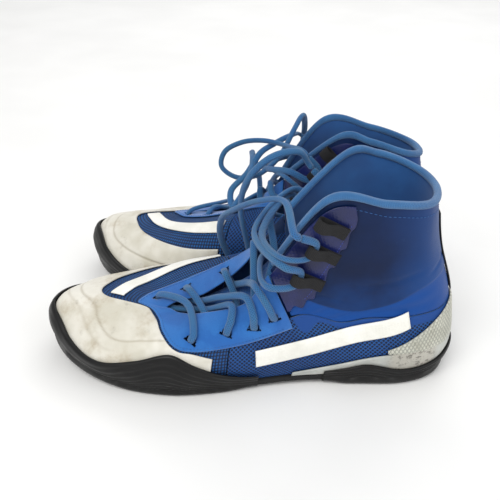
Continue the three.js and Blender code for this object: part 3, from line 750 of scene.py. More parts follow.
meshPitch = 3.3  # mm between pores of the side mesh; relief and colour share it
finishes = {
    "rubber": mouldedRubber(),
    "foam": foamedEva(),
    "toe": coatedLeather("coated_toe_leather", "#e6e3d9", "#aa9a7c", 0.6),
    "dotted": dottedMesh(meshPitch),
    "ribbed": ribbedMesh(),
    "satin": wovenSatin(),
    "suede": brushedSuede(),
    "knit": ribKnit("rib_knit_binding", "#3f80b8", "#23568c", 1.1),
    "tongueCloth": ribKnit("knit_tongue_cloth", "#2464ae", "#174b8b", 1.4),
    "lining": tricotLining(),
    "violet": bondedFilm("violet_film", "#18235f", "#121b4c", 0.3),
    "white": bondedFilm("white_film", "#fbfaf3", "#eeede4", 0.4),
    "tape": wovenTape(),
    "embossed": embossedFilm(),
    "foxing": scuffedStrip(),
    "lace": braidedLace(),
    "tip": clearTip(),
    "navyThread": sewingThread("navy_thread", "#2b5f9f"),
    "whiteThread": sewingThread("white_thread", "#d8d6cb"),
    "violetThread": sewingThread("violet_thread", "#4252b4"),
}
print("materials made")


def finishPiece(side, made, body, nodes=()):
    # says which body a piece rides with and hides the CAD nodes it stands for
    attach(made, f"{side}_{body}")
    if nodes:
        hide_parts(*[f"{side}_{n}" for n in nodes])
    return made


# the rubber: each pod's turns, the level of its top edge on either side and the strength of its ridges at each
# turn; then sizes in mm, and the waist's length in turns
soles = {
    "forefoot": {
        "turns": (0.0, 4.35),
        "outer": [[0, 1.4], [0.6, 1.3], [1.1, 1.05], [1.8, 0.95], [2.4, 1.45], [2.9, 1.9], [3.35, 1.5],
                  [3.8, 0.95], [4.15, 0.6], [4.4, 0.5]],
        "inner": [[0, 1.4], [0.6, 1.55], [1.2, 1.3], [2, 0.85], [3, 0.9], [3.75, 0.7], [4.4, 0.45]],
        "ridges": [[0, 0.2], [1.4, 0.3], [2.2, 1], [3.4, 1], [4.3, 0.3]],
    },
    "heel": {
        "turns": (5.45, 9.0),
        "outer": [[5.3, 0.3], [5.8, 0.5], [6.2, 0.68], [7, 0.36], [8, 0.5], [9, 0.85]],
        "ridges": [[5.4, 0.3], [6, 1], [7, 1], [9, 0.4]],
    },
    "rowsPerTurn": 46,
    "ridgePitch": 3.4,
    "ridgeHeight": 0.45,
    "waistLength": 0.55,
    "waistThickness": 0.3,
    "waistRise": 2.6,
    "toeSpring": 9.5,
    "shoulder": 4.0,
    "tuck": 1.5,
    "sideGap": 0.2,
    "floorGap": 0.4,
    "groovePitch": 7.0,
    "grooveDepth": 0.9,
}


def groundRise(turn):
    # from the feather line down to the floor, or less where the toe or heel springs up
    z = footPoint(turn, 0)[..., 2]
    return np.maximum(0, z - soles["toeSpring"]) - z


def fullness(turn):
    # 0 at a pod's end by the waist, 1 from waistLength on, on either side of the boot
    ends = np.array([soles["forefoot"]["turns"][1], soles["heel"]["turns"][0]])
    ends = np.concatenate([ends, stationCount - ends])
    return ease(np.abs(turn[:, None] - ends).min(axis=1), 0.0, soles["waistLength"])


def podWall(turn, top):
    # rows of turns and levels on the foot surface from the pod's top edge down to the feather line
    v = np.linspace(0, 1, 30)[None]
    return turn[:, None], top[:, None] * (1 - v), v


def podInside(turn, top):
    # the foot surface at the wall's inner lift, then straight down past the midsole
    turns, levels, _ = podWall(turn, top)
    high = skin(turns, levels, np.full(levels.shape, wallLift))
    foot = midsole["underside"][1] - soles["floorGap"]
    low = [soleEdge(turn, wallLift + soles["sideGap"], foot * k / 8) for k in range(1, 9)]
    return np.concatenate([high, np.stack(low, axis=1)], axis=1)


def podOutside(turn, top, ridges):
    # the wall's outer skin: inner lift + wall * lip + ridge * sin(depth), then a quarter-round to the tread;
    # the ridges run beside the waved top edge
    turns, levels, v = podWall(turn, top)
    full = fullness(turn)
    thin = soles["waistThickness"] + (1 - soles["waistThickness"]) * full
    below = v * np.linalg.norm(footPoint(turn, top) - footPoint(turn, 0), axis=-1)[:, None]
    step = np.sin(math.tau * below / soles["ridgePitch"]) * ease(below, 1.2, 3.4) * ridges[:, None]
    lip = 1 - 0.5 * bump(below, 0, 0.8)
    high = skin(turns, levels, wallLift + fit["soleWall"] * lip * thin[:, None] + soles["ridgeHeight"] * step)
    ground = groundRise(turn) + soles["waistRise"] * (1 - full)
    shoulder = np.maximum(ground * 0.4, -soles["shoulder"])
    reach = wallLift + fit["soleWall"] * thin - soles["tuck"]
    low = [
        soleEdge(turn, soles["tuck"] + reach * math.cos(a), shoulder + (ground - shoulder) * math.sin(a))
        for a in np.linspace(0, math.pi / 2, 10)[1:]
    ]
    return np.concatenate([high, np.stack(low, axis=1)], axis=1)


def grooved(across, t):
    # lifts the tread where cos(2 pi x / pitch), bent a little by y, is near 1; none at the tread's edges
    bent = 0.9 * np.cos(across[..., 1] / 9)
    groove = ease(np.cos(math.tau * across[..., 0] / soles["groovePitch"] + bent), 0.72, 0.9)
    middle = np.minimum(1, 12 * t * (1 - t))[..., 0]
    return across + [0, 0, 1] * (soles["grooveDepth"] * groove * middle)[..., None]


def makePod(side, name, pod):
    # a tray: the outer skin down one side, across the tread and up the other, closed by the inner skin
    start, stop = pod["turns"]
    turn = np.linspace(start, stop, int((stop - start) * soles["rowsPerTurn"]))
    ridges = table(pod["ridges"])(turn)
    t = np.linspace(0, 1, 42)[None, 1:-1, None]
    inner = pod.get("inner", pod["outer"])
    sides = ((turn, table(pod["outer"])(turn)), (stationCount - turn, table(inner)(turn)))
    outside = [podOutside(turns, top, ridges) for turns, top in sides]
    inside = [podInside(turns, top) for turns, top in sides]
    tread = grooved(outside[0][:, -1:] * (1 - t) + outside[1][:, -1:] * t, t)
    floor = inside[0][:, -1:] * (1 - t) + inside[1][:, -1:] * t
    front = np.concatenate([outside[0], tread, outside[1][:, ::-1]], axis=1)
    back = np.concatenate([inside[0], floor, inside[1][:, ::-1]], axis=1)
    back = resampled(back, front.shape[1])  # both skins get the same number of columns
    uv = millimetreMap(front)
    made = shell(side, name, front[:, ::-1], back[:, ::-1], uv[:, ::-1], None, [finishes["rubber"]] * 2)
    return finishPiece(side, made, "boot", [name])


def resampled(points, count):
    # the same lines with another number of points along each
    old = np.linspace(0, 1, points.shape[1])
    new = np.linspace(0, 1, count)
    k = np.clip(np.searchsorted(old, new, side="right") - 1, 0, len(old) - 2)
    t = ((new - old[k]) / (old[k + 1] - old[k]))[None, :, None]
    return points[:, k] * (1 - t) + points[:, k + 1] * t


def makeSlab(side, name, slab, material):
    # a flat-edged layer under the foot, from the outer line straight across to the inner line, and a top
    # that is crowned by crown * (1 - (2t - 1) ** 6)
    turn = np.linspace(0.02, stationCount / 2 - 0.02, 260)
    t = np.linspace(0, 1, 40)[None, :, None]
    front, back = (
        soleEdge(turn, *slab[line])[:, None] * (1 - t) + soleEdge(stationCount - turn, *slab[line])[:, None] * t
        for line in ("top", "underside")
    )
    front = front + np.array([0, 0, 1.0]) * slab["crown"] * (1 - (2 * t - 1) ** 6)
    uv = millimetreMap(front)
    made = shell(side, name, front[:, ::-1], back[:, ::-1], uv[:, ::-1], None, [material] * 2)
    return finishPiece(side, made, "boot", [name])


# lines of the upper: level at each turn, with widths in mm
upper = {
    "throat": [[-3.8, 3.4], [-2, 3.5], [0, 3.6], [1.5, 3.55], [2.2, 3.3], [2.6, 2.75], [3, 2.32], [3.9, 2.4]],
    "quarterTop": [[3.9, 2.4], [4.6, 2.36], [5.2, 2.3], [5.8, 1.78], [6.4, 1.78], [9, 1.78]],
    "quarterTopInner": [[9.02, 1.78], [11.6, 1.78], [12.2, 1.78], [12.8, 2.4], [13.4, 3.3], [14.2, 3.4]],
    "shaftLow": [[4.95, 2.45], [5.2, 2.33], [5.8, 1.8], [6.4, 1.8], [11.6, 1.8], [12.2, 1.8], [12.8, 2.42],
                 [13.05, 2.8]],
    "toeTop": [[-3.65, 1.9], [-3, 2.02], [-2, 2.28], [-1.2, 2.5], [-0.5, 2.68], [0, 2.95], [0.3, 3.25], [0.6, 3.38],
               [1.4, 3.32], [2, 3.12], [2.5, 2.62], [3, 2.03], [3.25, 1.95], [3.6, 1.7]],
    "counterTop": [[6.6, 1.12], [7.2, 1.38], [8, 1.68], [9, 1.86], [10, 1.68], [10.8, 1.38], [11.4, 1.12]],
    "foxingTop": [[4.9, 0.3], [5.6, 0.65], [6.6, 0.99], [11.4, 0.99], [12.4, 0.65], [13.1, 0.3]],
    "eyestayLow": [[-5.05, 3.15], [-4, 3.36], [-3, 3.42], [-2, 3.42], [-1, 3.46], [-0.2, 3.5], [0.6, 3.46],
                   [1.4, 3.4], [2, 3.2], [2.5, 2.7], [3, 2.12], [3.25, 2.05], [3.6, 2.08], [4, 2.12], [5, 2.1]],
    "sideCentre": [[4.25, 1.4], [5, 1.43], [6, 1.5], [6.6, 1.6], [7.2, 1.78]],
    "vampCentre": [[-3.7, 2.68], [-3, 2.74], [-2, 2.86], [-1, 2.98], [-0.3, 3.08]],
    "sideWidth": 14,
    "vampWidth": 11,
    "stripLow": [[5.03, 2.62], [5.4, 2.52], [5.7, 2.72], [6, 2.98], [6.3, 3.42], [6.42, 3.72]],
    # the navy cloth's lower hem, royal blue below it
    "hemLine": [[5.2, 2.7], [5.33, 2.61], [5.55, 2.3], [5.86, 2.03], [6.12, 1.93], [6.46, 1.97], [6.94, 2.13],
                [7.45, 2.31], [8.22, 2.47], [9, 2.5], [9.8, 2.47], [10.6, 2.31], [11.1, 2.13], [11.6, 1.97],
                [12, 1.93], [12.2, 2.03], [12.5, 2.3], [12.8, 2.61]],
    # where the moulded ridge runs across the toe cap
    "toeRidge": [[-3.65, 1.3], [-2, 1.6], [-1, 1.9], [0.35, 2.5], [1.21, 2.08], [1.75, 1.88], [2.01, 1.96],
                 [2.29, 2.2], [2.8, 2.5], [3.6, 2.5]],
    # the open mesh stops here and plain royal cloth goes on up
    "meshTop": [[3.9, 3.2], [5.0, 2.6], [5.11, 1.97], [5.44, 1.98], [5.72, 1.76], [6, 1.58], [6.32, 1.54], [6.6, 1.6],
                [9, 1.6], [11.5, 1.6], [12.3, 1.7], [12.8, 2.2], [13.2, 3.3], [14.2, 3.5]],
}
# the punched slots of the lace stay, outer row then inner row, as (turn, level); half width in mm
holes = {
    "places": [
        [(3.12, 2.58), (3.72, 2.76), (4.3, 2.64), (4.75, 2.6)],
        [(16.62, 3.62), (15.4, 3.66), (14.42, 3.68), (13.6, 3.68)],
    ],
    "half": 3.4,
}
# the webbing loops in the same order, where the lace crosses the throat above the holes, and sizes in mm
loops = {
    "places": [
        [(5.46, 3.05), (5.76, 3.32), (5.95, 3.68)],
        [(12.54, 3.05), (12.24, 3.32), (12.05, 3.68)],
    ],
    "crossings": [(4.95, 5.3), (13.1, 12.8)],
    "lean": 52.0, "lift": 3.85, "width": 8.6, "ply": 1.1, "eye": 3.6,
}


def line(name):
    # one of the upper's lines as a function of the turn
    return table(upper[name])


def pores(uv):
    # staggered rows of round pores: the larger of two square lattices half a step apart
    s, t = uv[..., 0] / meshPitch, uv[..., 1] / meshPitch
    first = np.cos(math.tau * s) + np.cos(math.tau * t)
    second = np.cos(math.tau * (s + 0.5)) + np.cos(math.tau * (t + 0.5))
    return ease(np.maximum(first, second), 0.5, 1.2)


# each relief below gives the lift in mm at every turn, level and place in mm


def quarterRelief(turns, levels, uv):
    # pores 0.4 mm deep below the mesh's top line, over slow swells
    openings = pores(uv) * ease(line("meshTop")(turns) - levels, 0.0, 0.06)
    return -0.4 * openings + swell(uv, 14, 14, 0.15, 3)


def quarterChannels(turns, levels, uv):
    # 1 where the cloth is plain royal
    return {"royal": 1 - ease(line("meshTop")(turns) - levels, 0.0, 0.05)}


def shaftRelief(turns, levels, uv):
    # a hem that stands proud of the cloth below, long soft creases round the ankle that fade out,
    # and slack hollows up the shaft; level under the strips and the binding
    above = levels - line("hemLine")(turns)
    hem = 0.55 * ease(above, 0.0, 0.04) * (1 - ease(above, 0.25, 0.9))
    first = bump(above, 0.2 + 0.06 * np.sin(turns * 1.6), 0.045) * ease(np.sin(turns * 1.5 + 0.6), -0.5, 0.7)
    second = bump(above, 0.42 + 0.1 * np.sin(turns * 1.1 + 2), 0.06) * ease(np.sin(turns * 1.9 + 1), -0.2, 0.8)
    creases = -0.75 * first - 0.6 * second
    waves = np.sin((levels - 0.12 * turns) * 21 + 0.9 * np.sin(turns * 1.9))
    below = 0.45 * waves * (1 - ease(above, -0.1, 0.0)) * ease(np.sin(turns * 1.2 + 0.5), -0.9, 0.5)
    slack = swell(uv, 26, 34, 0.55, 11)
    near = np.minimum(turns, stationCount - turns)
    strip = line("stripLow")(near)
    underStrip = ease(levels, strip - 0.15, strip) * ease(-near, -6.5, -6.42)
    quiet = (1 - underStrip) * (1 - ease(levels, 3.7, 3.9))
    low = ease(levels - line("shaftLow")(turns), 0.0, 0.08)
    return (hem + creases + below + slack) * quiet * low - 0.05


def shaftChannels(turns, levels, uv):
    # 1 above the navy cloth's hem
    return {"hem": ease(levels - line("hemLine")(turns), -0.01, 0.02)}


def vampRelief(turns, levels, uv):
    # only slow swells
    return swell(uv, 10, 10, 0.12, 5)


def toeChannels(turns, levels, uv):
    # 1 in the crease under the ridge, and a fainter second crease near the toe's outer side
    ridge = line("toeRidge")(turns)
    second = bump(levels, ridge - 0.42, 0.05) * ease(turns, -1.5, 0) * ease(-turns, -2.2, -1.6)
    return {"crease": np.clip(bump(levels, ridge - 0.03, 0.035) + 0.6 * second, 0, 1)}


def toeRelief(turns, levels, uv):
    # a moulded ridge that follows the toe, soft hollows where the toes have pushed, and fine flexing lines
    ridge = line("toeRidge")(turns)
    step = 0.6 * ease(levels - ridge, -0.03, 0.03) - 0.4 * bump(levels, ridge - 0.05, 0.04)
    dents = swell(uv, 9, 9, 0.245, 21)
    lines = np.sin(uv[..., 0] / 1.9 + 0.8 * np.sin(uv[..., 1] / 5))
    flexing = 0.25 * lines * ease(turns, 1.6, 2.6) * ease(levels, 1.4, 2.2)
    return (step - 0.3 + dents + flexing) * np.clip(1 - rolled(uv, 3.0, 1.0), 0, 1)


def lozenges(uv, pitch=2.9):
    # raised lozenges between crossing grooves: the smaller of two slanted waves
    s, t = uv[..., 0], uv[..., 1]
    a = np.abs(np.sin(math.pi * (s + 0.6 * t) / pitch))
    b = np.abs(np.sin(math.pi * (s - 0.6 * t) / pitch))
    return np.minimum(a, b)


def counterRelief(turns, levels, uv):
    # lozenges 0.45 mm high with rounded sides
    return 0.45 * ease(lozenges(uv), 0.1, 0.6) - 0.2


def counterChannels(turns, levels, uv):
    # 0 in the grooves, towards 1 in the middle of a lozenge
    return {"cell": lozenges(uv)}


def foxingRelief(turns, levels, uv):
    # only slow swells, short in height
    return swell(uv, 12, 6, 0.2, 31)


def slotCut(turns, levels):
    # leaves out the cells inside the punched half-moons
    middle = (turns[:-1, :-1] + turns[1:, 1:]) / 2, (levels[:-1, :-1] + levels[1:, 1:]) / 2
    keep = np.ones(middle[0].shape, bool)
    for inner, row in enumerate(holes["places"]):
        for turn, level in row:
            keep &= ~insideSlot(*middle, turn - stationCount * inner, level)
    return keep


def slotOffsets(turns, levels, turn, level):
    # mm along and mm up from a hole's centre, on the tangent plane
    x, y, _ = frameOn(turn, level)
    d = footPoint(turns, levels) - footPoint(turn, level)
    return d @ x, d @ y, np.linalg.norm(d, axis=-1)


def insideSlot(turns, levels, turn, level):
    # half-moon: within a circle and above a chord, with drawn-out corners
    a, b, far = slotOffsets(turns, levels, turn, level)
    half = holes["half"]
    moon = (np.hypot(a, b * 1.05) < half) & (b > -half * 0.55)
    corners = (np.abs(a) < half * 1.35) & (np.abs(b + half * 0.45) < 0.7)
    return (moon | corners) & (far < 8)


def eyestayRelief(turns, levels, uv):
    # soft swells, and the rim pulled in a little round each slot
    lift = swell(uv, 16, 12, 0.25, 41)
    for inner, row in enumerate(holes["places"]):
        for turn, level in row:
            far = slotOffsets(turns, levels, turn - stationCount * inner, level)[2]
            lift = lift - 0.45 * bump(far, holes["half"], 1.6)
    return lift


def bandOf(centre, width):
    # lower and upper line of a band of constant width in mm along a centre line
    def half(turn):
        c = centre(turn)
        span = footPoint(turn, c + surfaceStep) - footPoint(turn, c - surfaceStep)
        return width / 2 / (np.linalg.norm(span, axis=-1) / (2 * surfaceStep))

    return (lambda u: centre(u) - half(u)), (lambda u: centre(u) + half(u))


def scalloped(turn):
    # the strip's lower line with small waves: line - 0.05 * cos(2 pi turn / 0.22), mirrored on the inner side
    near = np.minimum(turn, stationCount - turn)
    return line("stripLow")(near) - 0.05 * np.cos(math.tau * near / 0.22)


def stitchRow(side, name, row):
    # a row of short rounded stitches laid along a line on the surface: a low ball stretched along the run,
    # repeated by adding each stitch's place and axes to the same rings
    start, stop, steps = row["turns"]
    turn = np.linspace(start, stop, steps)
    level, lift = row["level"](turn), row["lift"]
    run = runAlong(skin(turn, level, lift))
    at = np.arange(row["pitch"] / 2, run[-1], row["pitch"])
    u, v = np.interp(at, run, turn), np.interp(at, run, level)
    ahead = np.interp(at + 0.4, run, turn), np.interp(at + 0.4, run, level)
    centre = skin(u, v, lift)
    forward = unit(skin(ahead[0], ahead[1], lift) - centre)
    z = frameOn(u, v)[2]
    across = np.cross(z, forward)
    theta = np.linspace(0, math.pi, 6)[1:-1]
    phi = np.linspace(0, math.tau, 6, endpoint=False)
    long, thick = row["length"] / 2, row["width"] / 2
    ring = np.stack([
        np.repeat(np.cos(theta), 6) * long,
        np.outer(np.sin(theta), np.cos(phi)).ravel() * thick,
        np.outer(np.sin(theta), np.sin(phi)).ravel() * thick,
    ], axis=-1)
    ring = np.concatenate([ring, [[long, 0, 0], [-long, 0, 0]]])
    points = (centre[:, None] + ring[None, :, :1] * forward[:, None] + ring[None, :, 1:2] * across[:, None]
              + ring[None, :, 2:] * z[:, None])
    # four rings of six points, then the two tips
    index = np.arange(24).reshape(4, 6)
    wrapped = np.concatenate([index, index[:, :1]], axis=1)
    even = np.array([0, 2, 4])
    nose = np.stack([np.full(3, 24), wrapped[0, even], wrapped[0, even + 1], wrapped[0, even + 2]], axis=1)
    tail = np.stack([np.full(3, 25), wrapped[3, even + 2], wrapped[3, even + 1], wrapped[3, even]], axis=1)
    single = np.concatenate([gridQuads(wrapped), nose, tail])
    quads = (single[None] + len(ring) * np.arange(len(at))[:, None, None]).reshape(-1, 4)
    uv = np.zeros((len(quads), 4, 2))
    made = makeObject(side, name, points.reshape(-1, 3), quads, uv, materials=[finishes[row["thread"]]])
    return finishPiece(side, made, "boot")


# every sheet: its turns, lower and upper line, mesh cell in mm, finish in front and behind, material slot
sheets = {
    "vamp_mesh": {
        "turns": (-3.75, 3.85), "lines": (flat(0), line("throat")), "cell": 1.1, "layer": "base",
        "looks": ("ribbed", "lining"), "slot": "mesh", "relief": vampRelief,
    },
    "quarter_lateral": {
        "turns": (3.87, 8.98), "lines": (flat(0), line("quarterTop")), "cell": 0.75, "layer": "base",
        "looks": ("dotted", "lining"), "slot": "mesh", "relief": quarterRelief, "channels": quarterChannels,
    },
    "quarter_medial": {
        "turns": (9.0, 14.23), "lines": (flat(0), line("quarterTopInner")), "cell": 0.75, "layer": "base",
        "looks": ("dotted", "lining"), "slot": "mesh", "relief": quarterRelief, "channels": quarterChannels,
    },
    "ankle_shaft": {
        "turns": (5.05, 12.93), "lines": (line("shaftLow"), flat(4.03)), "cell": 1.2, "layer": "base",
        "looks": ("satin", "lining"), "slot": "satin", "relief": shaftRelief, "channels": shaftChannels,
    },
    "toe_cap": {
        "turns": (-3.65, 3.6), "lines": (flat(0.06), line("toeTop")), "cell": 1.0, "layer": "over",
        "looks": ("toe", "toe"), "slot": "toe_synthetic", "relief": toeRelief, "channels": toeChannels,
    },
    "heel_counter": {
        "turns": (6.6, 11.4), "lines": (flat(1.03), line("counterTop")), "cell": 0.7, "layer": "over",
        "looks": ("embossed", "embossed"), "slot": "grey_synthetic", "relief": counterRelief,
        "channels": counterChannels,
    },
    "foxing": {
        "turns": (4.9, 13.1), "lines": (flat(0.06), line("foxingTop")), "cell": 1.2, "layer": "over",
        "looks": ("foxing", "foxing"), "slot": "grey_synthetic", "relief": foxingRelief,
    },
    "eyestay": {
        "turns": (-5.05, 5.0), "lines": (line("eyestayLow"), flat(3.97)), "cell": 0.8, "layer": "over",
        "looks": ("suede", "lining"), "slot": "suede", "relief": eyestayRelief, "keep": slotCut,
    },
    "loop_strip_lateral": {
        "turns": (5.03, 6.42), "lines": (scalloped, flat(3.9)), "cell": 0.7, "layer": "over",
        "looks": ("violet", "violet"), "slot": "strip",
    },
    "loop_strip_medial": {
        "turns": (11.58, 12.92), "lines": (scalloped, flat(3.9)), "cell": 0.7, "layer": "over",
        "looks": ("violet", "violet"), "slot": "strip",
    },
    "side_band": {
        "turns": (4.3, 7.1), "lines": bandOf(line("sideCentre"), upper["sideWidth"]), "cell": 0.9, "layer": "over",
        "looks": ("white", "white"), "slot": "white_film",
    },
    "vamp_band": {
        "turns": (-3.65, -0.35), "lines": bandOf(line("vampCentre"), upper["vampWidth"]), "cell": 0.9,
        "layer": "over", "looks": ("white", "white"), "slot": "white_film",
    },
    "back_stay": {
        "turns": (8.86, 9.14), "lines": (flat(1.92), flat(3.6)), "cell": 0.8, "layer": "over",
        "looks": ("tape", "tape"), "slot": "webbing",
    },
}


def makeUpper(side):
    # one panel from each row of sheets
    for name, sheet in sheets.items():
        finishPiece(side, panel(side, name, sheet), "boot", [name])


binding = {"turns": (5.1, 12.9), "rise": 2.6, "lift": 0.6, "width": 5.2, "height": 5.6}


def makeBinding(side):
    # a knit tube carried along the top line, its middle rise mm above it
    turn = np.linspace(*binding["turns"], 300)
    _, y, z = frameOn(turn, 4.0)
    path = skin(turn, 4.0, binding["lift"]) + y * binding["rise"]
    profile = ovalProfile(binding["width"], binding["height"], 16, 2.2)
    made = tube(side, "collar_binding", path, runAlong(path), z, y, profile, [finishes["knit"]], 3.0)
    finishPiece(side, made, "boot", ["collar_binding"])


# the tongue's front turn, its upper end on either boot, its padding in mm, and how deep it lies in front and
# from there on behind
tongue = {"front": 0.5, "top": {"left": 5.6, "right": 6.0}, "padding": 4.5, "depth": 5.6, "drop": 7.8}


def makeTongue(side):
    # pad between two lines under the flaps: middle + padding * plumpness, where plumpness rises from a seam
    # at the borders as 4t(1 - t), less three quilted channels
    turn = np.linspace(tongue["front"], tongue["top"][side], 150)
    drop = table([[0.5, 0], [1.12, 1]])(turn)
    depth = tongue["depth"] + tongue["drop"] * drop
    a = skin(turn, 3.3 + 0.25 * drop, -depth)[:, None]
    b = skin(stationCount - turn, 3.3 + 0.4 * drop, -depth)[:, None]
    rise = unit(frameOn(turn, 3.9)[2] + frameOn(stationCount - turn, 3.9)[2])[:, None]
    t = np.linspace(0, 1, 44)[None, :, None]
    arch = 4 * t * (1 - t)
    back = a * (1 - t) + b * t + rise * arch
    ends = np.minimum(np.linspace(0, 1, 150), np.linspace(1, 0, 150))[:, None, None]
    plump = np.minimum(1, arch * 2.2 + 0.25) * np.minimum(1, ends * 14 + 0.3)
    quilting = 0.5 * bump(np.abs(2 * t - 1), 0.55, 0.05) + 0.35 * bump(t, 0.5, 0.03)
    front = back + rise * (tongue["padding"] * plump - quilting)
    looks = [finishes["tongueCloth"], finishes["lining"]]
    made = shell(side, "tongue", front, back, millimetreMap(front), None, looks)
    finishPiece(side, made, "tongue", ["tongue"])


def makeLoops(side):
    # webbing folded round an open eye: out along the strip, round the eye, back and sewn down
    lean = math.radians(loops["lean"])
    profile = ovalProfile(loops["width"], loops["ply"], 16, 5.0)
    for inner, row in enumerate(loops["places"]):
        for k, (turn, level) in enumerate(row):
            x, y, z = frameOn(turn, level)
            swing = -lean if inner else lean
            x, y = x * math.cos(swing) + y * math.sin(swing), y * math.cos(swing) - x * math.sin(swing)
            base = skin(turn, level, loops["lift"])
            r = loops["eye"]
            arc = np.linspace(-math.pi / 2, math.pi / 2, 22)
            # u runs along the loop and w stands off the strip: out flat, a half circle, and back down to the tail
            u = np.concatenate([np.linspace(-14, 3.6, 16), 4 + r * np.cos(arc), np.linspace(3, -13.6, 16)])
            back = 0.6 + 2 * r - (2 * r - 1.25) * ease(np.linspace(0, 1, 16), 0, 0.62)
            w = np.concatenate([np.full(16, 0.6), 0.6 + r + r * np.sin(arc), back])
            path = base + u[:, None] * y + w[:, None] * z
            direction = unit(np.gradient(path, axis=0))
            across = np.broadcast_to(x, path.shape)
            name = f"lace_loop_{('lateral', 'medial')[inner]}_{k + 1}"
            made = tube(side, name, path, runAlong(path), across, np.cross(direction, across), profile,
                        [finishes["tape"]])
            finishPiece(side, made, "boot", [name])


# sizes in mm; the diameter is that of a round cord with about the oval's girth, in m
laces = {"width": 5.2, "height": 3.7, "step": 1.2, "diameter": 0.0047, "aglet": 20.0, "agletGap": 0.45,
         "barLift": 7.5, "crossLift": (3.2, -2.6)}
# routes of the free ends from the last loop to the tip, in the boot frame
freeEnds = {
    "left": {
        "medial": [
            [32, 36, 152], [14, 30, 151], [-2, 34, 134], [-9, 44, 106], [-4, 50, 70], [4, 50, 40], [12, 49, 16],
            [24, 48, 3.5], [38, 48, 2.6], [48, 47, 2.6],
        ],
        "lateral": [
            [20, -24, 143], [4, -6, 134], [-12, 12, 118], [-22, 30, 101], [-24, 46, 76], [-16, 54, 48],
            [-6, 56, 20], [4, 57, 5], [18, 57.5, 2.6], [30, 57, 2.6],
        ],
    },
    "right": {
        "medial": [
            [24, 14, 138], [16, 4, 137], [2, 0, 137], [-14, 2, 134], [-28, 8, 125], [-30, 13, 113],
            [-19, 11, 104], [-4, 9, 106], [9, 11, 117], [18, 8, 129], [26, -6, 148], [30, -28, 156],
            [30, -52, 142], [26, -62, 116], [22, -62, 88], [18, -62, 60],
        ],
        "lateral": [
            [20, -22, 138], [10, -8, 133], [1, 4, 127], [-8, 18, 111], [-18, 32, 99], [-14, 42, 91],
            [-6, 34, 104], [-4, 20, 116], [-6, 2, 121], [-10, -18, 120], [-14, -42, 104], [-16, -58, 80],
            [-16, -64, 54], [-16, -67, 30],
        ],
    },
}


def throatPoint(turn, other, lift):
    # halfway across the throat between two turns of the top line, raised by lift
    a, b = footPoint(turn, 4.0), footPoint(other, 4.0)
    up = unit(frameOn(turn, 4.0)[2] + frameOn(other, 4.0)[2])
    return (a + b) / 2 + up * lift


def besideHole(place, inner, along, towards, lift):
    # mm back along the boot, mm towards the top line and mm off the foot surface from a place on it
    x, y, z = frameOn(*place)
    return footPoint(*place) + x * (-along if inner else along) + y * towards + z * lift


def besideLoop(place, inner, along, towards, lift):
    # the loops lean forward, so along and towards are turned by the lean
    c, s = math.cos(math.radians(loops["lean"])), math.sin(math.radians(loops["lean"]))
    return besideHole(place, inner, along * c - towards * s, along * s + towards * c, lift)


def laceHalf(start, lift):
    # over the flap, down a slot, back out under the edge, across to the other side, then up through the loops
    points = []
    slots, crossings = holes["places"], loops["crossings"]
    for row in range(4):
        here = (start + row) % 2
        place = slots[here][row]
        if row > 0 and not here:
            points.append(besideHole((place[0], 4.0), here, 0, -1, 7.5))
        if row > 0:
            points.append(besideHole(place, here, 0, 9, 7.6))
        # mm towards the top line and mm off the foot: above the slot, in it, under it, and out below the edge
        for towards, high in ((3.6, 5.9), (-0.4, 2.4), (3.6, -1.7), (9.5, -3.2)):
            points.append(besideHole(place, here, 0, towards, high))
        if not here:
            points.append(besideHole(place, here, 0, 17, -5.2))
        ahead = slots[1 - here][row + 1][0] if row < 3 else crossings[1 - here][0]
        points.append(throatPoint(place[0], ahead, lift))
    for row in range(2):
        here = (start + row) % 2
        if row < 1:
            points.append(besideHole((crossings[here][0], 4.0), here, 0, -1, 9.2))
        eye = loops["lift"] + 4.1
        for along, towards, high in ((-11, 18, 12), (-5.5, 4.2, eye), (5.5, 4.2, eye), (8.5, 16, 14)):
            points.append(besideLoop(loops["places"][here][row], here, along, towards, high))
        if row < 1:
            points.append(throatPoint(crossings[here][0], crossings[1 - here][1], lift + 17))
    return points


def makeLaces(side):
    # the threaded lace is one curve through both halves; each free end leaves the last loop straight on, and
    # its tip goes straight on from the end
    profile = ovalProfile(laces["width"], laces["height"], 12, 2.3)
    # the bar across the front holes, then the two halves, one crossing above the other
    bar = throatPoint(holes["places"][0][0][0], holes["places"][1][0][0], laces["barLift"])
    first, second = (laceHalf(start, lift) for start, lift in enumerate(laces["crossLift"]))
    path, along = routeCurve(first[::-1] + [bar] + second, 0.9)
    sides, ups = carriedFrames(path, (1.0, 0.2, 0.0))
    made = tube(side, "lace", path, along, sides, ups, profile, [finishes["lace"]], 0.8)
    finishPiece(side, made, "boot", ["lace"])
    for where, half in (("medial", first), ("lateral", second)):
        tail = half[-1]
        away = unit(half[-1] - half[-2])
        points = [tail + away * 0.5, tail + away * 5.5] + [np.array(p, float) for p in freeEnds[side][where]]
        path, along = routeCurve(points, laces["step"])
        sides, ups = carriedFrames(path, (0.2, 1.0, 0.3))
        end = tube(side, f"lace_end_{where}", path, along, sides, ups, profile, [finishes["lace"]], 0.8)
        finishPiece(side, end, "boot", [f"lace_end_{where}"])
        run = unit(np.array(points[-1]) - np.array(points[-2]))
        t = np.linspace(0, 1, 30)[:, None]
        core = points[-1] + run * (laces["agletGap"] + laces["aglet"] * t)
        length = np.linspace(0, laces["aglet"], 30)
        across, over = carriedFrames(core, (0.2, 1.0, 0.3))
        tip = tube(side, f"aglet_{where}", core, length, across, over, ovalProfile(3.0, 2.8, 12, 2.0),
                   [finishes["tip"]], 0.8)
        finishPiece(side, tip, "boot", [f"aglet_{where}"])


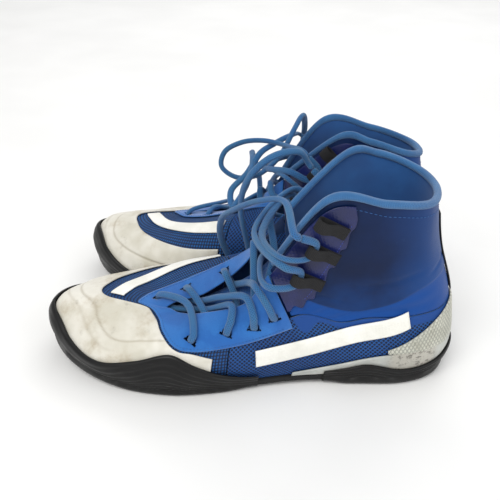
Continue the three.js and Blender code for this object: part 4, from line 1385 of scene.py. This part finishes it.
def aboveStay(turn):
    # 2 mm up from the lace stay's lower edge
    low = line("eyestayLow")(turn)
    span = np.linalg.norm(footPoint(turn, low + 0.05) - footPoint(turn, low), axis=-1) / 0.05
    return low + 2.0 / span


def inStrip(turn):
    # a little above the strip's lower line, on either side
    return line("stripLow")(np.minimum(turn, stationCount - turn)) + 0.12


# every row of stitches: first turn, last turn and steps, the level at each turn, then lift, pitch and size in mm
stitches = {
    "collar_stitches": {
        "turns": (5.35, 12.65, 400), "level": flat(3.83),
        "lift": 1.25, "pitch": 3.2, "length": 2.2, "width": 0.55, "thread": "navyThread",
    },
    "eyestay_stitches": {
        "turns": (-4.9, 4.85, 500), "level": aboveStay,
        "lift": 3.0, "pitch": 2.4, "length": 1.6, "width": 0.5, "thread": "navyThread",
    },
    "strip_stitches_lateral": {
        "turns": (5.35, 6.3, 90), "level": inStrip,
        "lift": 3.05, "pitch": 2.2, "length": 1.5, "width": 0.45, "thread": "violetThread",
    },
    "strip_stitches_medial": {
        "turns": (12.65, 11.7, 90), "level": inStrip,
        "lift": 3.05, "pitch": 2.2, "length": 1.5, "width": 0.45, "thread": "violetThread",
    },
    "counter_stitches": {
        "turns": (6.75, 11.25, 300), "level": lambda turn: line("counterTop")(turn) - 0.07,
        "lift": 3.2, "pitch": 2.4, "length": 1.6, "width": 0.45, "thread": "whiteThread",
    },
}

for bootSide in ("left", "right"):
    makePod(bootSide, "outsole_forefoot", soles["forefoot"])
    makePod(bootSide, "outsole_heel", soles["heel"])
    makeSlab(bootSide, "midsole", midsole, finishes["foam"])
    makeSlab(bootSide, "sockliner", insole, finishes["lining"])
    makeUpper(bootSide)
    makeBinding(bootSide)
    makeTongue(bootSide)
    makeLoops(bootSide)
    makeLaces(bootSide)
    for rowName, stitchLine in stitches.items():
        stitchRow(bootSide, rowName, stitchLine)
    print(bootSide, "boot made")

# area lights: place and aim in m, power in W; the world gives the rest
lights = {
    "key_softbox": {"place": (-0.5, -0.9, 1.3), "aim": (0, 0, 0.05), "size": (1.0, 0.8), "power": 13,
                    "tint": (1.0, 0.99, 0.97)},
    "fill_softbox": {"place": (1.2, -0.7, 0.8), "aim": (0, 0, 0.08), "size": (1.0, 1.0), "power": 4,
                     "tint": (0.97, 0.98, 1.0)},
    "back_softbox": {"place": (0.3, 1.3, 1.2), "aim": (0, 0, 0.05), "size": (1.4, 0.8), "power": 8,
                     "tint": (1.0, 1.0, 1.0)},
}
stage = {"half": 3.0, "worldLight": 0.6}


def makeStage():
    # a flat square floor at the boots' lowest level
    half = stage["half"]
    mesh = bpy.data.meshes.new("floor")
    mesh.from_pydata([(-half, -half, 0), (half, -half, 0), (half, half, 0), (-half, half, 0)], [], [(0, 1, 2, 3)])
    # matt painted board, very pale
    made, tree = startMaterial("pale_floor")
    colour = mixed(tree, cloud(tree, 6, 2.0), "#f6f6f5", "#fbfbfa")
    mesh.materials.append(finishMaterial(made, colour, roughness=0.9))
    floor = bpy.data.objects.new("floor", mesh)
    bpy.context.scene.collection.objects.link(floor)


def makeLight(name, light):
    # a soft rectangle turned towards its aim
    data = bpy.data.lights.new(name, "AREA")
    data.shape = "RECTANGLE"
    data.size, data.size_y = light["size"]
    data.energy = light["power"]
    data.color = light["tint"]
    made = bpy.data.objects.new(name, data)
    made.location = light["place"]
    aimed = Vector(light["aim"]) - Vector(light["place"])
    made.rotation_euler = aimed.to_track_quat("-Z", "Y").to_euler()
    bpy.context.scene.collection.objects.link(made)


makeStage()
for lightName, light in lights.items():
    makeLight(lightName, light)
world = bpy.data.worlds.new("studio")
world.use_nodes = True
world.node_tree.nodes["Background"].inputs[0].default_value = (1.0, 1.0, 1.0, 1.0)
world.node_tree.nodes["Background"].inputs[1].default_value = stage["worldLight"]
bpy.context.scene.world = world
bpy.context.scene.view_settings.view_transform = "Standard"
